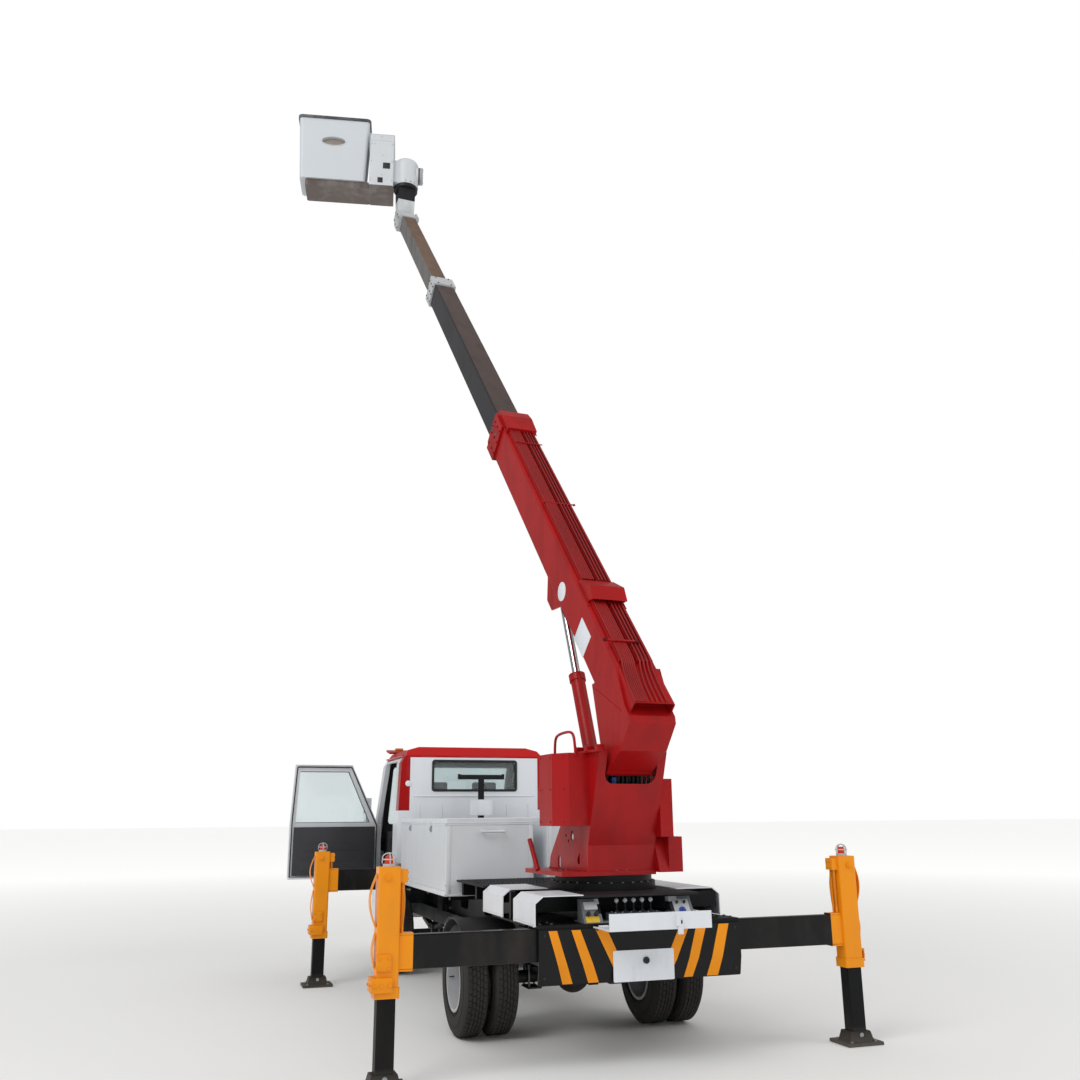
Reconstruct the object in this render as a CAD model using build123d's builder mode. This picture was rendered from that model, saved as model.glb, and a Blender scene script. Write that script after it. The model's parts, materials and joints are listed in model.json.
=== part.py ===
from build123d import *
from math import cos, radians, sin
import os

# A narrow cherry picker truck: cab, deck, four outriggers, turret, three boom sections and a bucket.
# Millimetres, +X right, +Y forward, +Z up, wheels and feet on z = 0.
os.makedirs("parts", exist_ok=True)

# Lengthwise places are distances ahead of the rear outrigger line, turned into Y by ahead().
REAR_LINE_Y = -3745
TRUCK_X = 130
AIR = 0.3
RUNNING_FIT = 0.05
MOVING_GAP = 5


def ahead(distance):
    return REAR_LINE_Y + distance


def cross_plane(distance):
    """Plane across the truck: sketch x is right, sketch y is up, and extrude(-length) runs forward."""
    return Plane.XZ.offset(-ahead(distance))


def side_plane(x=0):
    """Plane along the truck: sketch x is forward (absolute Y), sketch y is up."""
    return Plane.YZ.offset(x)


def save(piece, name):
    """The truck is drawn about its own middle and stored about the middle of the whole outline."""
    placed = piece.part.moved(Location((TRUCK_X, 0, 0)))
    placed.label = name
    export_step(placed, f"parts/{name}.step")


def block(x, y, z, mode=Mode.ADD):
    """Box between (low, high) pairs, in the builder that is open."""
    with Locations(((x[0] + x[1]) / 2, (y[0] + y[1]) / 2, (z[0] + z[1]) / 2)):
        Box(x[1] - x[0], y[1] - y[0], z[1] - z[0], mode=mode)


def outline(points):
    """Closed flat face through the points, in the sketch that is open."""
    with BuildLine() as edge:
        Polyline(*points, close=True)
    make_face(edge.edges())


# Chassis frame
RAIL_X = 360
RAIL_BOTTOM = 500
RAIL_TOP = 635
RAIL_FLANGE = 62
RAIL_WALL = 8
RAIL_REAR = -60
RAIL_FRONT = 5719.7
FRAME_TIES = (300, 900, 1650, 2400, 3150, 3850, 5400)
TIE_LENGTH = 60

with BuildPart() as chassis_frame:
    for side in (-1, 1):
        with BuildSketch(cross_plane(RAIL_REAR)):
            outline([(side * px, pz) for px, pz in (
                (RAIL_X, RAIL_BOTTOM),
                (RAIL_X, RAIL_TOP),
                (RAIL_X - RAIL_FLANGE, RAIL_TOP),
                (RAIL_X - RAIL_FLANGE, RAIL_TOP - RAIL_WALL),
                (RAIL_X - RAIL_WALL, RAIL_TOP - RAIL_WALL),
                (RAIL_X - RAIL_WALL, RAIL_BOTTOM + RAIL_WALL),
                (RAIL_X - RAIL_FLANGE, RAIL_BOTTOM + RAIL_WALL),
                (RAIL_X - RAIL_FLANGE, RAIL_BOTTOM),
            )])
        extrude(amount=RAIL_REAR - RAIL_FRONT)
    for tie in FRAME_TIES:
        block(
            (-RAIL_X + RAIL_WALL / 2, RAIL_X - RAIL_WALL / 2),
            (ahead(tie), ahead(tie + TIE_LENGTH)),
            (RAIL_BOTTOM + 2 * RAIL_WALL, RAIL_TOP - 2 * RAIL_WALL),
        )
save(chassis_frame, "chassis_frame")

# Outriggers. Left and right beams lie one behind the other, so that both slide right into the housing.
BEAM_DEPTH = 80
BEAM_HEIGHT = 200
BEAM_STAGGER = 45
HOUSING_WALL = 15
HOUSING_X = 720
HOUSING_DEPTH = 2 * (BEAM_STAGGER + BEAM_DEPTH / 2 + MOVING_GAP + HOUSING_WALL)
LIP = 40
BEAM_INNER_X = 400
COLUMN_WIDTH = 140
COLUMN_DEPTH = 124
COLUMN_WALL = 8
LEG_WIDTH = COLUMN_WIDTH - 2 * COLUMN_WALL - 2 * MOVING_GAP
LEG_DEPTH = COLUMN_DEPTH - 2 * COLUMN_WALL - 2 * MOVING_GAP
LEG_TOP = 860
FOOT_BLOCK_TOP = 84
COLLAR_HEIGHT = 60
COLLAR_GROWTH = 14
SLEEVE_LENGTH = 90
SLEEVE_WALL = 10
# name: line ahead of the rear line, column centre x, beam bottom, column bottom, column top
OUTRIGGER_ROWS = {
    "rear": (0, 1680, 655, 500, 1255),
    "front": (4060, 1600, 860, 430, 1230),
}


def outrigger_housing(line, beam_bottom):
    """Twin-tunnel cross box. The tunnels are tight at the mouths and wider inside."""
    half = HOUSING_DEPTH / 2
    top = beam_bottom + BEAM_HEIGHT
    block(
        (-HOUSING_X, HOUSING_X),
        (ahead(line) - half, ahead(line) + half),
        (beam_bottom - MOVING_GAP - HOUSING_WALL, top + MOVING_GAP + HOUSING_WALL),
    )
    for side in (-1, 1):
        middle = ahead(line) + side * BEAM_STAGGER
        for reach, gap in ((HOUSING_X, AIR), (HOUSING_X - LIP, MOVING_GAP)):
            depth = BEAM_DEPTH / 2 + gap
            block(
                (-reach, reach),
                (middle - depth, middle + depth),
                (beam_bottom - gap, top + gap),
                Mode.SUBTRACT,
            )


with BuildPart() as outrigger_housings:
    for end, (line, column_x, beam_bottom, column_bottom, column_top) in OUTRIGGER_ROWS.items():
        outrigger_housing(line, beam_bottom)
    # Legs that carry the raised front box on the frame rails
    front_line, front_beam_bottom = OUTRIGGER_ROWS["front"][0], OUTRIGGER_ROWS["front"][2]
    for side in (-1, 1):
        block(
            (side * RAIL_X - RAIL_FLANGE / 2, side * RAIL_X + RAIL_FLANGE / 2),
            (ahead(front_line) - HOUSING_DEPTH / 2, ahead(front_line) + HOUSING_DEPTH / 2),
            (RAIL_TOP, front_beam_bottom - MOVING_GAP - HOUSING_WALL / 2),
        )
save(outrigger_housings, "outrigger_housings")

for end, (line, column_x, beam_bottom, column_bottom, column_top) in OUTRIGGER_ROWS.items():
    for side, hand in ((-1, "left"), (1, "right")):
        middle_y = ahead(line) + side * BEAM_STAGGER
        inner_face = column_x - COLUMN_WIDTH / 2
        beam_top = beam_bottom + BEAM_HEIGHT

        with BuildPart() as beam:
            block(
                sorted((side * BEAM_INNER_X, side * inner_face)),
                (middle_y - BEAM_DEPTH / 2, middle_y + BEAM_DEPTH / 2),
                (beam_bottom, beam_top),
            )
            fillet(beam.edges().filter_by(Axis.X), 8)

        with BuildPart() as arm:
            add(beam.part)
            with BuildSketch(Plane.XY.offset(column_bottom)):
                with Locations((side * column_x, middle_y)):
                    RectangleRounded(COLUMN_WIDTH, COLUMN_DEPTH, 14)
            extrude(amount=column_top - column_bottom)
            # Collar at the foot of the tube
            with BuildSketch(Plane.XY.offset(column_bottom)):
                with Locations((side * column_x, middle_y)):
                    RectangleRounded(COLUMN_WIDTH + COLLAR_GROWTH, COLUMN_DEPTH + COLLAR_GROWTH, 16)
            extrude(amount=COLLAR_HEIGHT)
            # Bore for the leg: tight in the collar, wider above it
            for low, high, gap in (
                (column_bottom, column_bottom + COLLAR_HEIGHT, AIR),
                (column_bottom + COLLAR_HEIGHT, column_top - COLUMN_WALL, MOVING_GAP),
            ):
                with BuildSketch(Plane.XY.offset(low)):
                    with Locations((side * column_x, middle_y)):
                        Rectangle(LEG_WIDTH + 2 * gap, LEG_DEPTH + 2 * gap)
                extrude(amount=high - low, mode=Mode.SUBTRACT)
            # Sleeve plates above and below the beam where it meets the tube
            sleeve_x = sorted((side * inner_face, side * (inner_face - SLEEVE_LENGTH)))
            for low in (beam_bottom - SLEEVE_WALL, beam_top):
                block(
                    sleeve_x,
                    (middle_y - BEAM_DEPTH / 2, middle_y + BEAM_DEPTH / 2),
                    (low, low + SLEEVE_WALL),
                )
            # Lamp in a round guard on the cap
            with BuildSketch(Plane.XY.offset(column_top)):
                with Locations((side * column_x, middle_y)):
                    Circle(38)
            extrude(amount=18)
            with BuildSketch(Plane.XY.offset(column_top + 18)):
                with Locations((side * column_x, middle_y)):
                    Circle(28)
            extrude(amount=46, taper=8)
            # Check valve block and its two pipes on the inner face
            valve_x = sorted((side * (inner_face - 45), side * inner_face))
            block(valve_x, (middle_y - 40, middle_y + 40), (column_top - 95, column_top - 15))
            for shift in (-20, 20):
                with BuildSketch(Plane.XY.offset(beam_top + SLEEVE_WALL)):
                    with Locations((side * (inner_face - 20), middle_y + shift)):
                        Circle(8)
                extrude(amount=column_top - 95 - beam_top - SLEEVE_WALL)
        save(arm, f"outrigger_arm_{end}_{hand}")

        with BuildPart() as leg:
            with BuildSketch(Plane.XY.offset(FOOT_BLOCK_TOP)):
                with Locations((side * column_x, middle_y)):
                    RectangleRounded(LEG_WIDTH, LEG_DEPTH, 8)
            extrude(amount=LEG_TOP - FOOT_BLOCK_TOP)
            block(
                (side * column_x - 140, side * column_x + 140),
                (middle_y - 120, middle_y + 120),
                (0, 20),
            )
            with BuildSketch(Plane.XY.offset(20)):
                with Locations((side * column_x, middle_y)):
                    Rectangle(190, 150)
            extrude(amount=FOOT_BLOCK_TOP - 20, taper=14)
        save(leg, f"outrigger_leg_{end}_{hand}")

# Subframe under the deck and the lockers
WEB_X = (250, 310)
WEB_REAR_TOP = 930
WEB_FRONT_TOP = 880
DECK_TOP = 1049
DECK_BOTTOM = 1034
DECK_HALF = 430
LOCKER_REAR = 1990
LOCKER_FRONT = 3920
BODY_HALF = 740
SLEW_LINE = 560
DRUM_RADIUS = 252
RING_RADIUS = 375
RING_TOP = 1100
SHELF_BOTTOM = 855
SHELF_TOP = 867
POST_LINE = 480
SUBFRAME_REAR = 110
SUBFRAME_FRONT = LOCKER_FRONT + 5
WEB_STEP = 1975
DECK_BEARERS = (180, 1060, 1480, 1900)
LOCKER_BEARERS = (2100, 2950, 3800)
LOCKER_BOTTOM = 917

with BuildPart() as subframe:
    for side in (-1, 1):
        with BuildSketch(side_plane(side * WEB_X[0])):
            outline([
                (ahead(SUBFRAME_REAR), RAIL_TOP),
                (ahead(SUBFRAME_REAR), WEB_REAR_TOP),
                (ahead(WEB_STEP), WEB_REAR_TOP),
                (ahead(WEB_STEP), WEB_FRONT_TOP),
                (ahead(SUBFRAME_FRONT), WEB_FRONT_TOP),
                (ahead(SUBFRAME_FRONT), RAIL_TOP),
            ])
            for hole in (560, 1000, 1500, 2525, 3375):
                with Locations((ahead(hole), 760)):
                    SlotOverall(300, 110, mode=Mode.SUBTRACT)
        extrude(amount=side * (WEB_X[1] - WEB_X[0]))
    for bearer in DECK_BEARERS:
        block((40 - BODY_HALF, BODY_HALF - 40), (ahead(bearer), ahead(bearer + 50)), (WEB_REAR_TOP, DECK_BOTTOM))
    for bearer in LOCKER_BEARERS:
        block((-760, 760), (ahead(bearer), ahead(bearer + 60)), (WEB_FRONT_TOP, LOCKER_BOTTOM))
    # Slew ring seat on a drum between the webs
    with BuildSketch(Plane.XY.offset(WEB_REAR_TOP - 150)):
        with Locations((0, ahead(SLEW_LINE))):
            Circle(DRUM_RADIUS)
    extrude(amount=DECK_TOP - WEB_REAR_TOP + 150)
    with BuildSketch(Plane.XY.offset(DECK_TOP)):
        with Locations((0, ahead(SLEW_LINE))):
            Circle(RING_RADIUS)
    extrude(amount=RING_TOP - DECK_TOP)
    # Shelves beside the deck, and the post in the left gap between the covers
    for side in (-1, 1):
        block(sorted((side * WEB_X[1], side * BODY_HALF)), (ahead(112), ahead(900)), (SHELF_BOTTOM, SHELF_TOP))
    block(
        (-BODY_HALF + 10, -BODY_HALF + 45),
        (ahead(POST_LINE) - 20, ahead(POST_LINE) + 20),
        (SHELF_TOP, DECK_TOP),
    )
save(subframe, "subframe")

# Deck plate
COVER_WALL = 6
with BuildPart() as deck:
    block((-DECK_HALF, DECK_HALF), (ahead(-90), ahead(1975)), (DECK_BOTTOM, DECK_TOP))
    block((-BODY_HALF, BODY_HALF), (ahead(1132), ahead(1975)), (DECK_BOTTOM, DECK_TOP))
    with BuildSketch(Plane.XY.offset(DECK_BOTTOM)):
        with Locations((0, ahead(SLEW_LINE))):
            Circle(DRUM_RADIUS + AIR)
    extrude(amount=DECK_TOP - DECK_BOTTOM, mode=Mode.SUBTRACT)
save(deck, "deck")

# White sheet covers: flat top, chamfer and side, open at both ends
# side, rear line, front line
COVERS = ((-1, -115, 354), (-1, 607, 1126), (1, 200, 1126))
COVER_INNER = 410
COVER_LOW = 870
COVER_TOP = DECK_TOP + COVER_WALL
COVER_CHAMFER = 50
COVER_SHOULDER = 1010
with BuildPart() as deck_covers:
    for side, rear, front in COVERS:
        with BuildSketch(cross_plane(rear)):
            outline([(side * px, pz) for px, pz in (
                (COVER_INNER, COVER_TOP),
                (BODY_HALF - COVER_CHAMFER, COVER_TOP),
                (BODY_HALF + COVER_WALL, COVER_SHOULDER),
                (BODY_HALF + COVER_WALL, COVER_LOW),
                (BODY_HALF, COVER_LOW),
                (BODY_HALF, COVER_SHOULDER - COVER_WALL / 2),
                (BODY_HALF - COVER_CHAMFER - COVER_WALL / 2, DECK_TOP),
                (COVER_INNER, DECK_TOP),
            )])
        extrude(amount=rear - front)
save(deck_covers, "deck_covers")

# Rear panel: a pressed black sheet whose lower part leans in
PANEL_WALL = 12
PANEL_BACK = -(HOUSING_DEPTH / 2) - PANEL_WALL
PANEL_TOP = 848
PANEL_FOLD = 634
PANEL_BOTTOM = 513
PANEL_LEAN = 25
FLAP_HINGE = PANEL_BACK - 8
FLAP_HINGE_Z = 858
FLAP_BARREL_X = 280
FLAP_BARREL = 70
FLAP_BARREL_RADIUS = 7
FLAP_PIN = 3
with BuildPart() as rear_panel:
    with BuildSketch(side_plane()):
        outline([
            (ahead(PANEL_BACK), PANEL_TOP),
            (ahead(PANEL_BACK), PANEL_FOLD),
            (ahead(PANEL_BACK + PANEL_LEAN), PANEL_BOTTOM),
            (ahead(PANEL_BACK + PANEL_LEAN + PANEL_WALL), PANEL_BOTTOM),
            (ahead(PANEL_BACK + PANEL_WALL), PANEL_FOLD),
            (ahead(PANEL_BACK + PANEL_WALL), PANEL_TOP),
        ])
    extrude(amount=BODY_HALF - 20, both=True)
    fillet(rear_panel.edges().filter_by(Axis.Y), 10)
    # Blank white plate low on the rear panel, with a round lock
    with BuildSketch(cross_plane(PANEL_BACK - 8)):
        with Locations((0, 610)):
            RectangleRounded(430, 190, 8)
    extrude(amount=-8)
    with BuildSketch(cross_plane(PANEL_BACK - 16)):
        with Locations((15, 640)):
            Circle(22)
    extrude(amount=-10)
    # Lugs and pins of the console flap
    for side in (-1, 1):
        for end in (-1, 1):
            lug_x = side * FLAP_BARREL_X + end * (FLAP_BARREL / 2 + AIR)
            with BuildSketch(side_plane(lug_x)):
                with Locations((ahead(FLAP_HINGE), FLAP_HINGE_Z)):
                    Circle(FLAP_BARREL_RADIUS)
                with Locations((ahead(FLAP_HINGE) + 8, FLAP_HINGE_Z - 12)):
                    Rectangle(16, 24)
            extrude(amount=end * 10)
        with BuildSketch(side_plane(side * FLAP_BARREL_X)):
            with Locations((ahead(FLAP_HINGE), FLAP_HINGE_Z)):
                Circle(FLAP_PIN)
        extrude(amount=FLAP_BARREL / 2 + 8, both=True)
save(rear_panel, "rear_panel")

# Control console between the covers: a sloped face each side of the valve block
CONSOLE_HALF = 400
CONSOLE_FLOOR = 860
CONSOLE_BACK = -100
LEVER_COUNT = 5
LEVER_PITCH = 62
with BuildPart() as control_console:
    for low, high in ((-CONSOLE_HALF, -270), (240, CONSOLE_HALF)):
        with BuildSketch(side_plane(low)):
            outline([
                (ahead(CONSOLE_BACK), CONSOLE_FLOOR + 20),
                (ahead(CONSOLE_BACK + 90), DECK_BOTTOM - 14),
                (ahead(CONSOLE_BACK + 130), DECK_BOTTOM - 14),
                (ahead(CONSOLE_BACK + 130), CONSOLE_FLOOR + 20),
            ])
        extrude(amount=high - low)
    block((-CONSOLE_HALF, CONSOLE_HALF), (ahead(CONSOLE_BACK), ahead(100)), (CONSOLE_FLOOR + 15, CONSOLE_FLOOR + 24))
    block((-200, 170), (ahead(CONSOLE_BACK + 40), ahead(CONSOLE_BACK + 130)), (CONSOLE_FLOOR + 20, 930))
    # Lever rods with ball knobs, standing on the valve block
    for index in range(LEVER_COUNT):
        lever_x = -15 + (index - (LEVER_COUNT - 1) / 2) * LEVER_PITCH
        with BuildSketch(Plane.XY.offset(930)):
            with Locations((lever_x, ahead(CONSOLE_BACK + 85))):
                Circle(5)
        extrude(amount=70)
        with Locations((lever_x, ahead(CONSOLE_BACK + 85), 1006)):
            Sphere(15)
save(control_console, "control_console")

# Console flap, open level at rest, hinged at its front edge
FLAP_HALF = 355
FLAP_REACH = 290
FLAP_WALL = 5
FLAP_Z = FLAP_HINGE_Z - FLAP_WALL
FLAP_LIP = 105
FLAP_START = FLAP_BARREL_RADIUS + 2
with BuildPart() as control_flap:
    with BuildSketch(side_plane()):
        outline([
            (ahead(FLAP_HINGE - FLAP_START), FLAP_Z),
            (ahead(FLAP_HINGE - FLAP_REACH), FLAP_Z),
            (ahead(FLAP_HINGE - FLAP_REACH), FLAP_Z + FLAP_LIP),
            (ahead(FLAP_HINGE - FLAP_REACH + FLAP_WALL), FLAP_Z + FLAP_LIP),
            (ahead(FLAP_HINGE - FLAP_REACH + FLAP_WALL), FLAP_Z + FLAP_WALL),
            (ahead(FLAP_HINGE - FLAP_START), FLAP_Z + FLAP_WALL),
        ])
    extrude(amount=FLAP_HALF, both=True)
    block((100, 130), (ahead(FLAP_HINGE - FLAP_REACH - 14), ahead(FLAP_HINGE - FLAP_REACH)), (FLAP_Z + 20, FLAP_Z + 85))
    # Hinge barrels, each on a tongue of the flap
    for side in (-1, 1):
        with BuildSketch(side_plane(side * FLAP_BARREL_X)):
            with Locations((ahead(FLAP_HINGE), FLAP_HINGE_Z)):
                Circle(FLAP_BARREL_RADIUS)
            with Locations((ahead(FLAP_HINGE) - 8, FLAP_Z + FLAP_WALL / 2)):
                Rectangle(16, FLAP_WALL)
            with Locations((ahead(FLAP_HINGE), FLAP_HINGE_Z)):
                Circle(FLAP_PIN + RUNNING_FIT, mode=Mode.SUBTRACT)
        extrude(amount=FLAP_BARREL / 2, both=True)
save(control_flap, "control_flap")

# Tool lockers behind the cab
LOCKER_INNER = 62
LOCKER_OUTER = 833
LOCKER_TOP = 1541
LOCKER_LID = 45
LOCKER_WALL = 8
LOCKER_RIM = LOCKER_TOP - LOCKER_LID
LID_HINGE_X = LOCKER_INNER - 9
LID_HINGE_Z = LOCKER_RIM + 4
LID_HINGE_RADIUS = 8
LID_HINGE_PIN = 4
LID_HINGE_LENGTH = 80
LID_HINGE_LUG = 14
LID_HINGE_LINES = (2350, 3480)
with BuildPart() as lockers:
    for side in (-1, 1):
        with BuildSketch(Plane.XY.offset(LOCKER_BOTTOM)):
            with Locations((side * (LOCKER_INNER + LOCKER_OUTER) / 2, ahead((LOCKER_REAR + LOCKER_FRONT) / 2))):
                RectangleRounded(LOCKER_OUTER - LOCKER_INNER, LOCKER_FRONT - LOCKER_REAR, 12)
        extrude(amount=LOCKER_RIM - LOCKER_BOTTOM)
        with BuildSketch(Plane.XY.offset(LOCKER_BOTTOM + LOCKER_WALL)):
            with Locations((side * (LOCKER_INNER + LOCKER_OUTER) / 2, ahead((LOCKER_REAR + LOCKER_FRONT) / 2))):
                Rectangle(LOCKER_OUTER - LOCKER_INNER - 2 * LOCKER_WALL, LOCKER_FRONT - LOCKER_REAR - 2 * LOCKER_WALL)
        extrude(amount=LOCKER_RIM - LOCKER_BOTTOM, mode=Mode.SUBTRACT)
        # Grab handle high on the rear face
        handle_x = side * 430
        for shift in (-90, 90):
            with BuildSketch(cross_plane(LOCKER_REAR - 45)):
                with Locations((handle_x + shift, 1430)):
                    Circle(9)
            extrude(amount=-45)
        with BuildSketch(side_plane(handle_x - 99)):
            with Locations((ahead(LOCKER_REAR - 45), 1430)):
                Circle(9)
        extrude(amount=198)
        # Lugs and pins of the lid hinges
        for line in LID_HINGE_LINES:
            for lug in (line - LID_HINGE_LUG, line + LID_HINGE_LENGTH + AIR):
                with BuildSketch(cross_plane(lug)):
                    with Locations((side * LID_HINGE_X, LID_HINGE_Z)):
                        Circle(LID_HINGE_RADIUS)
                    outline([(side * px, pz) for px, pz in (
                        (LID_HINGE_X - 1, LID_HINGE_Z),
                        (LOCKER_INNER - AIR, LID_HINGE_Z),
                        (LOCKER_INNER - AIR, LOCKER_RIM - 6),
                        (LOCKER_INNER + 2, LOCKER_RIM - 6),
                        (LOCKER_INNER + 2, LOCKER_RIM - 20),
                        (LID_HINGE_X - 1, LOCKER_RIM - 20),
                    )])
                extrude(amount=AIR - LID_HINGE_LUG)
            with BuildSketch(cross_plane(line - LID_HINGE_LUG)):
                with Locations((side * LID_HINGE_X, LID_HINGE_Z)):
                    Circle(LID_HINGE_PIN)
            extrude(amount=-(LID_HINGE_LENGTH + 2 * LID_HINGE_LUG))
save(lockers, "lockers")

for side, hand in ((-1, "left"), (1, "right")):
    with BuildPart() as lid:
        with BuildSketch(Plane.XY.offset(LOCKER_RIM + AIR)):
            with Locations((side * (LOCKER_INNER + LOCKER_OUTER) / 2, ahead((LOCKER_REAR + LOCKER_FRONT) / 2))):
                RectangleRounded(LOCKER_OUTER - LOCKER_INNER, LOCKER_FRONT - LOCKER_REAR, 12)
        extrude(amount=LOCKER_LID - AIR)
        fillet(lid.faces().sort_by(Axis.Z)[-1].edges(), 6)
        with BuildSketch(Plane.XY.offset(LOCKER_RIM + AIR)):
            with Locations((side * (LOCKER_INNER + LOCKER_OUTER) / 2, ahead((LOCKER_REAR + LOCKER_FRONT) / 2))):
                Rectangle(LOCKER_OUTER - LOCKER_INNER - 16, LOCKER_FRONT - LOCKER_REAR - 16)
        extrude(amount=LOCKER_LID - AIR - LOCKER_WALL, mode=Mode.SUBTRACT)
        # Hinge barrels
        for line in LID_HINGE_LINES:
            with BuildSketch(cross_plane(line)):
                with Locations((side * LID_HINGE_X, LID_HINGE_Z)):
                    Circle(LID_HINGE_RADIUS)
                with Locations((side * (LID_HINGE_X + 6), LID_HINGE_Z + 4)):
                    Rectangle(12, 7.4)
                with Locations((side * LID_HINGE_X, LID_HINGE_Z)):
                    Circle(LID_HINGE_PIN + RUNNING_FIT, mode=Mode.SUBTRACT)
            extrude(amount=-LID_HINGE_LENGTH)
    save(lid, f"locker_lid_{hand}")

# Boom rest on a post ahead of the lockers
REST_LINE = SUBFRAME_FRONT + 15
with BuildPart() as boom_rest:
    with BuildSketch(cross_plane(REST_LINE - 12)):
        outline([
            (-250, 1930), (-250, 1985), (-225, 1985), (-215, 1968), (215, 1968), (225, 1985),
            (250, 1985), (250, 1930), (30, 1930), (30, 635), (-30, 635), (-30, 1930),
        ])
    extrude(amount=-24)
    block((-120, 120), (ahead(REST_LINE - 18), ahead(REST_LINE - 12)), (1570, 1720))
    block((-360, 360), (ahead(REST_LINE - 12), ahead(REST_LINE + 12)), (RAIL_TOP, 700))
save(boom_rest, "boom_rest")

# Cab. The shell is a hollow block that follows a side profile and a cross profile.
CAB_REAR = 4190
CAB_FRONT = 5720
CAB_HALF = 828
ROOF_TOP = 2280
SILL = 880
DOOR_WALL = 50
NOSE_BOTTOM = RAIL_TOP + AIR
FRONT_AXLE = 4590
WHEEL_Z = 385


def cab_block(side_points, cross_points, half):
    with BuildSketch(side_plane()) as side_face:
        outline([(ahead(py), pz) for py, pz in side_points])
    extrude(side_face.sketch, amount=half, both=True)
    with BuildSketch(cross_plane(CAB_REAR - 200)) as cross_face:
        outline([(px, pz) for px, pz in cross_points] + [(-px, pz) for px, pz in reversed(cross_points)])
    extrude(cross_face.sketch, amount=-(CAB_FRONT - CAB_REAR + 400), mode=Mode.INTERSECT)


with BuildPart() as cab_outer:
    cab_block(
        ((CAB_REAR, SILL), (CAB_REAR, 2190), (4290, ROOF_TOP), (5120, ROOF_TOP), (5240, 2200), (5590, 1420),
         (CAB_FRONT, 1180), (CAB_FRONT, NOSE_BOTTOM), (5110, NOSE_BOTTOM), (5060, SILL)),
        ((806, 600), (CAB_HALF, 1100), (CAB_HALF, 1480), (798, 2110), (720, 2245), (600, ROOF_TOP)),
        CAB_HALF,
    )
with BuildPart() as cab_inner:
    cab_block(
        ((CAB_REAR + 40, SILL + 50), (CAB_REAR + 40, 2165), (4310, 2240), (5100, 2240), (5200, 2170), (5545, 1400),
         (CAB_FRONT - 50, 1160), (CAB_FRONT - 50, 690), (5150, 690), (5100, SILL + 50)),
        ((756, 600), (CAB_HALF - DOOR_WALL, 1100), (CAB_HALF - DOOR_WALL, 1480), (748, 2095), (700, 2205), (590, 2240)),
        CAB_HALF,
    )
with BuildPart() as cab_wall:
    add(cab_outer.part)
    add(cab_inner.part, mode=Mode.SUBTRACT)

# Door outline and window outline in the side view, as distance ahead and height
DOOR_REAR = 4440
DOOR_HINGE = 5425
DOOR_POINTS = ((DOOR_REAR, 905), (DOOR_REAR, 1460), (4470, 2130), (5105, 2130), (DOOR_HINGE, 1480), (DOOR_HINGE, 905))
PANE_POINTS = ((4500, 1500), (4520, 2060), (5075, 2060), (5340, 1500))
DOOR_GAP = 5
DOOR_INNER = 732
# Windscreen and rear window: half width, low, high, corner radius
SCREEN = (690, 1470, 2120, 60)
REAR_WINDOW = (460, 1825, 2130, 45)
ROOF_SPLIT = 2180


def side_prism(points, grow, low, high):
    """Prism across the truck from x = low to x = high, its outline grown by an offset."""
    with BuildPart() as prism:
        with BuildSketch(side_plane(low)):
            outline([(ahead(py), pz) for py, pz in points])
            if grow:
                offset(amount=grow, kind=Kind.INTERSECTION, mode=Mode.REPLACE)
        extrude(amount=high - low)
    return prism.part


def window_prism(window, shrink, rear, front):
    half, low, high, radius = window
    with BuildPart() as prism:
        with BuildSketch(cross_plane(rear)):
            with Locations((0, (low + high) / 2)):
                RectangleRounded(2 * (half - shrink), high - low - 2 * shrink, radius - shrink)
        extrude(amount=rear - front)
    return prism.part


HINGE_X = CAB_HALF + 10
HINGE_LINE = DOOR_HINGE - 2.5
HINGE_RADIUS = 9
HINGE_PIN = 4.5
HINGE_LENGTH = 60
HINGE_LUG = 15
HINGE_LOWS = (990, 1350)
OPEN_ANGLE = 86

with BuildPart() as cab_shell:
    add(cab_wall.part)
    for low, high in ((-900, DOOR_GAP - DOOR_INNER), (DOOR_INNER - DOOR_GAP, 900)):
        add(side_prism(DOOR_POINTS, DOOR_GAP, low, high), mode=Mode.SUBTRACT)
    add(window_prism(SCREEN, 0, 5130, 5900), mode=Mode.SUBTRACT)
    add(window_prism(REAR_WINDOW, 0, CAB_REAR - 50, CAB_REAR + 80), mode=Mode.SUBTRACT)
    # Clearance over the front outrigger box and the frame rails
    block((-900, 900), (ahead(CAB_REAR - 50), ahead(4270)), (600, 1095), Mode.SUBTRACT)
    split(bisect_by=Plane.XY.offset(ROOF_SPLIT), keep=Keep.BOTTOM)
    # Hinge lugs on the front door posts, with the pin between each pair
    for side in (-1, 1):
        for low in HINGE_LOWS:
            for lug in (low - HINGE_LUG, low + HINGE_LENGTH + AIR):
                block(
                    sorted((side * (HINGE_X - HINGE_RADIUS), side * (HINGE_X + HINGE_RADIUS))),
                    (ahead(HINGE_LINE), ahead(HINGE_LINE + 37)),
                    (lug, lug + HINGE_LUG - AIR),
                )
                block(
                    sorted((side * (CAB_HALF - 10), side * HINGE_X)),
                    (ahead(HINGE_LINE + 10), ahead(HINGE_LINE + 37)),
                    (lug, lug + HINGE_LUG - AIR),
                )
            with BuildSketch(Plane.XY.offset(low - HINGE_LUG)):
                with Locations((side * HINGE_X, ahead(HINGE_LINE))):
                    Circle(HINGE_PIN)
            extrude(amount=HINGE_LENGTH + 2 * HINGE_LUG)
save(cab_shell, "cab_shell")

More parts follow.
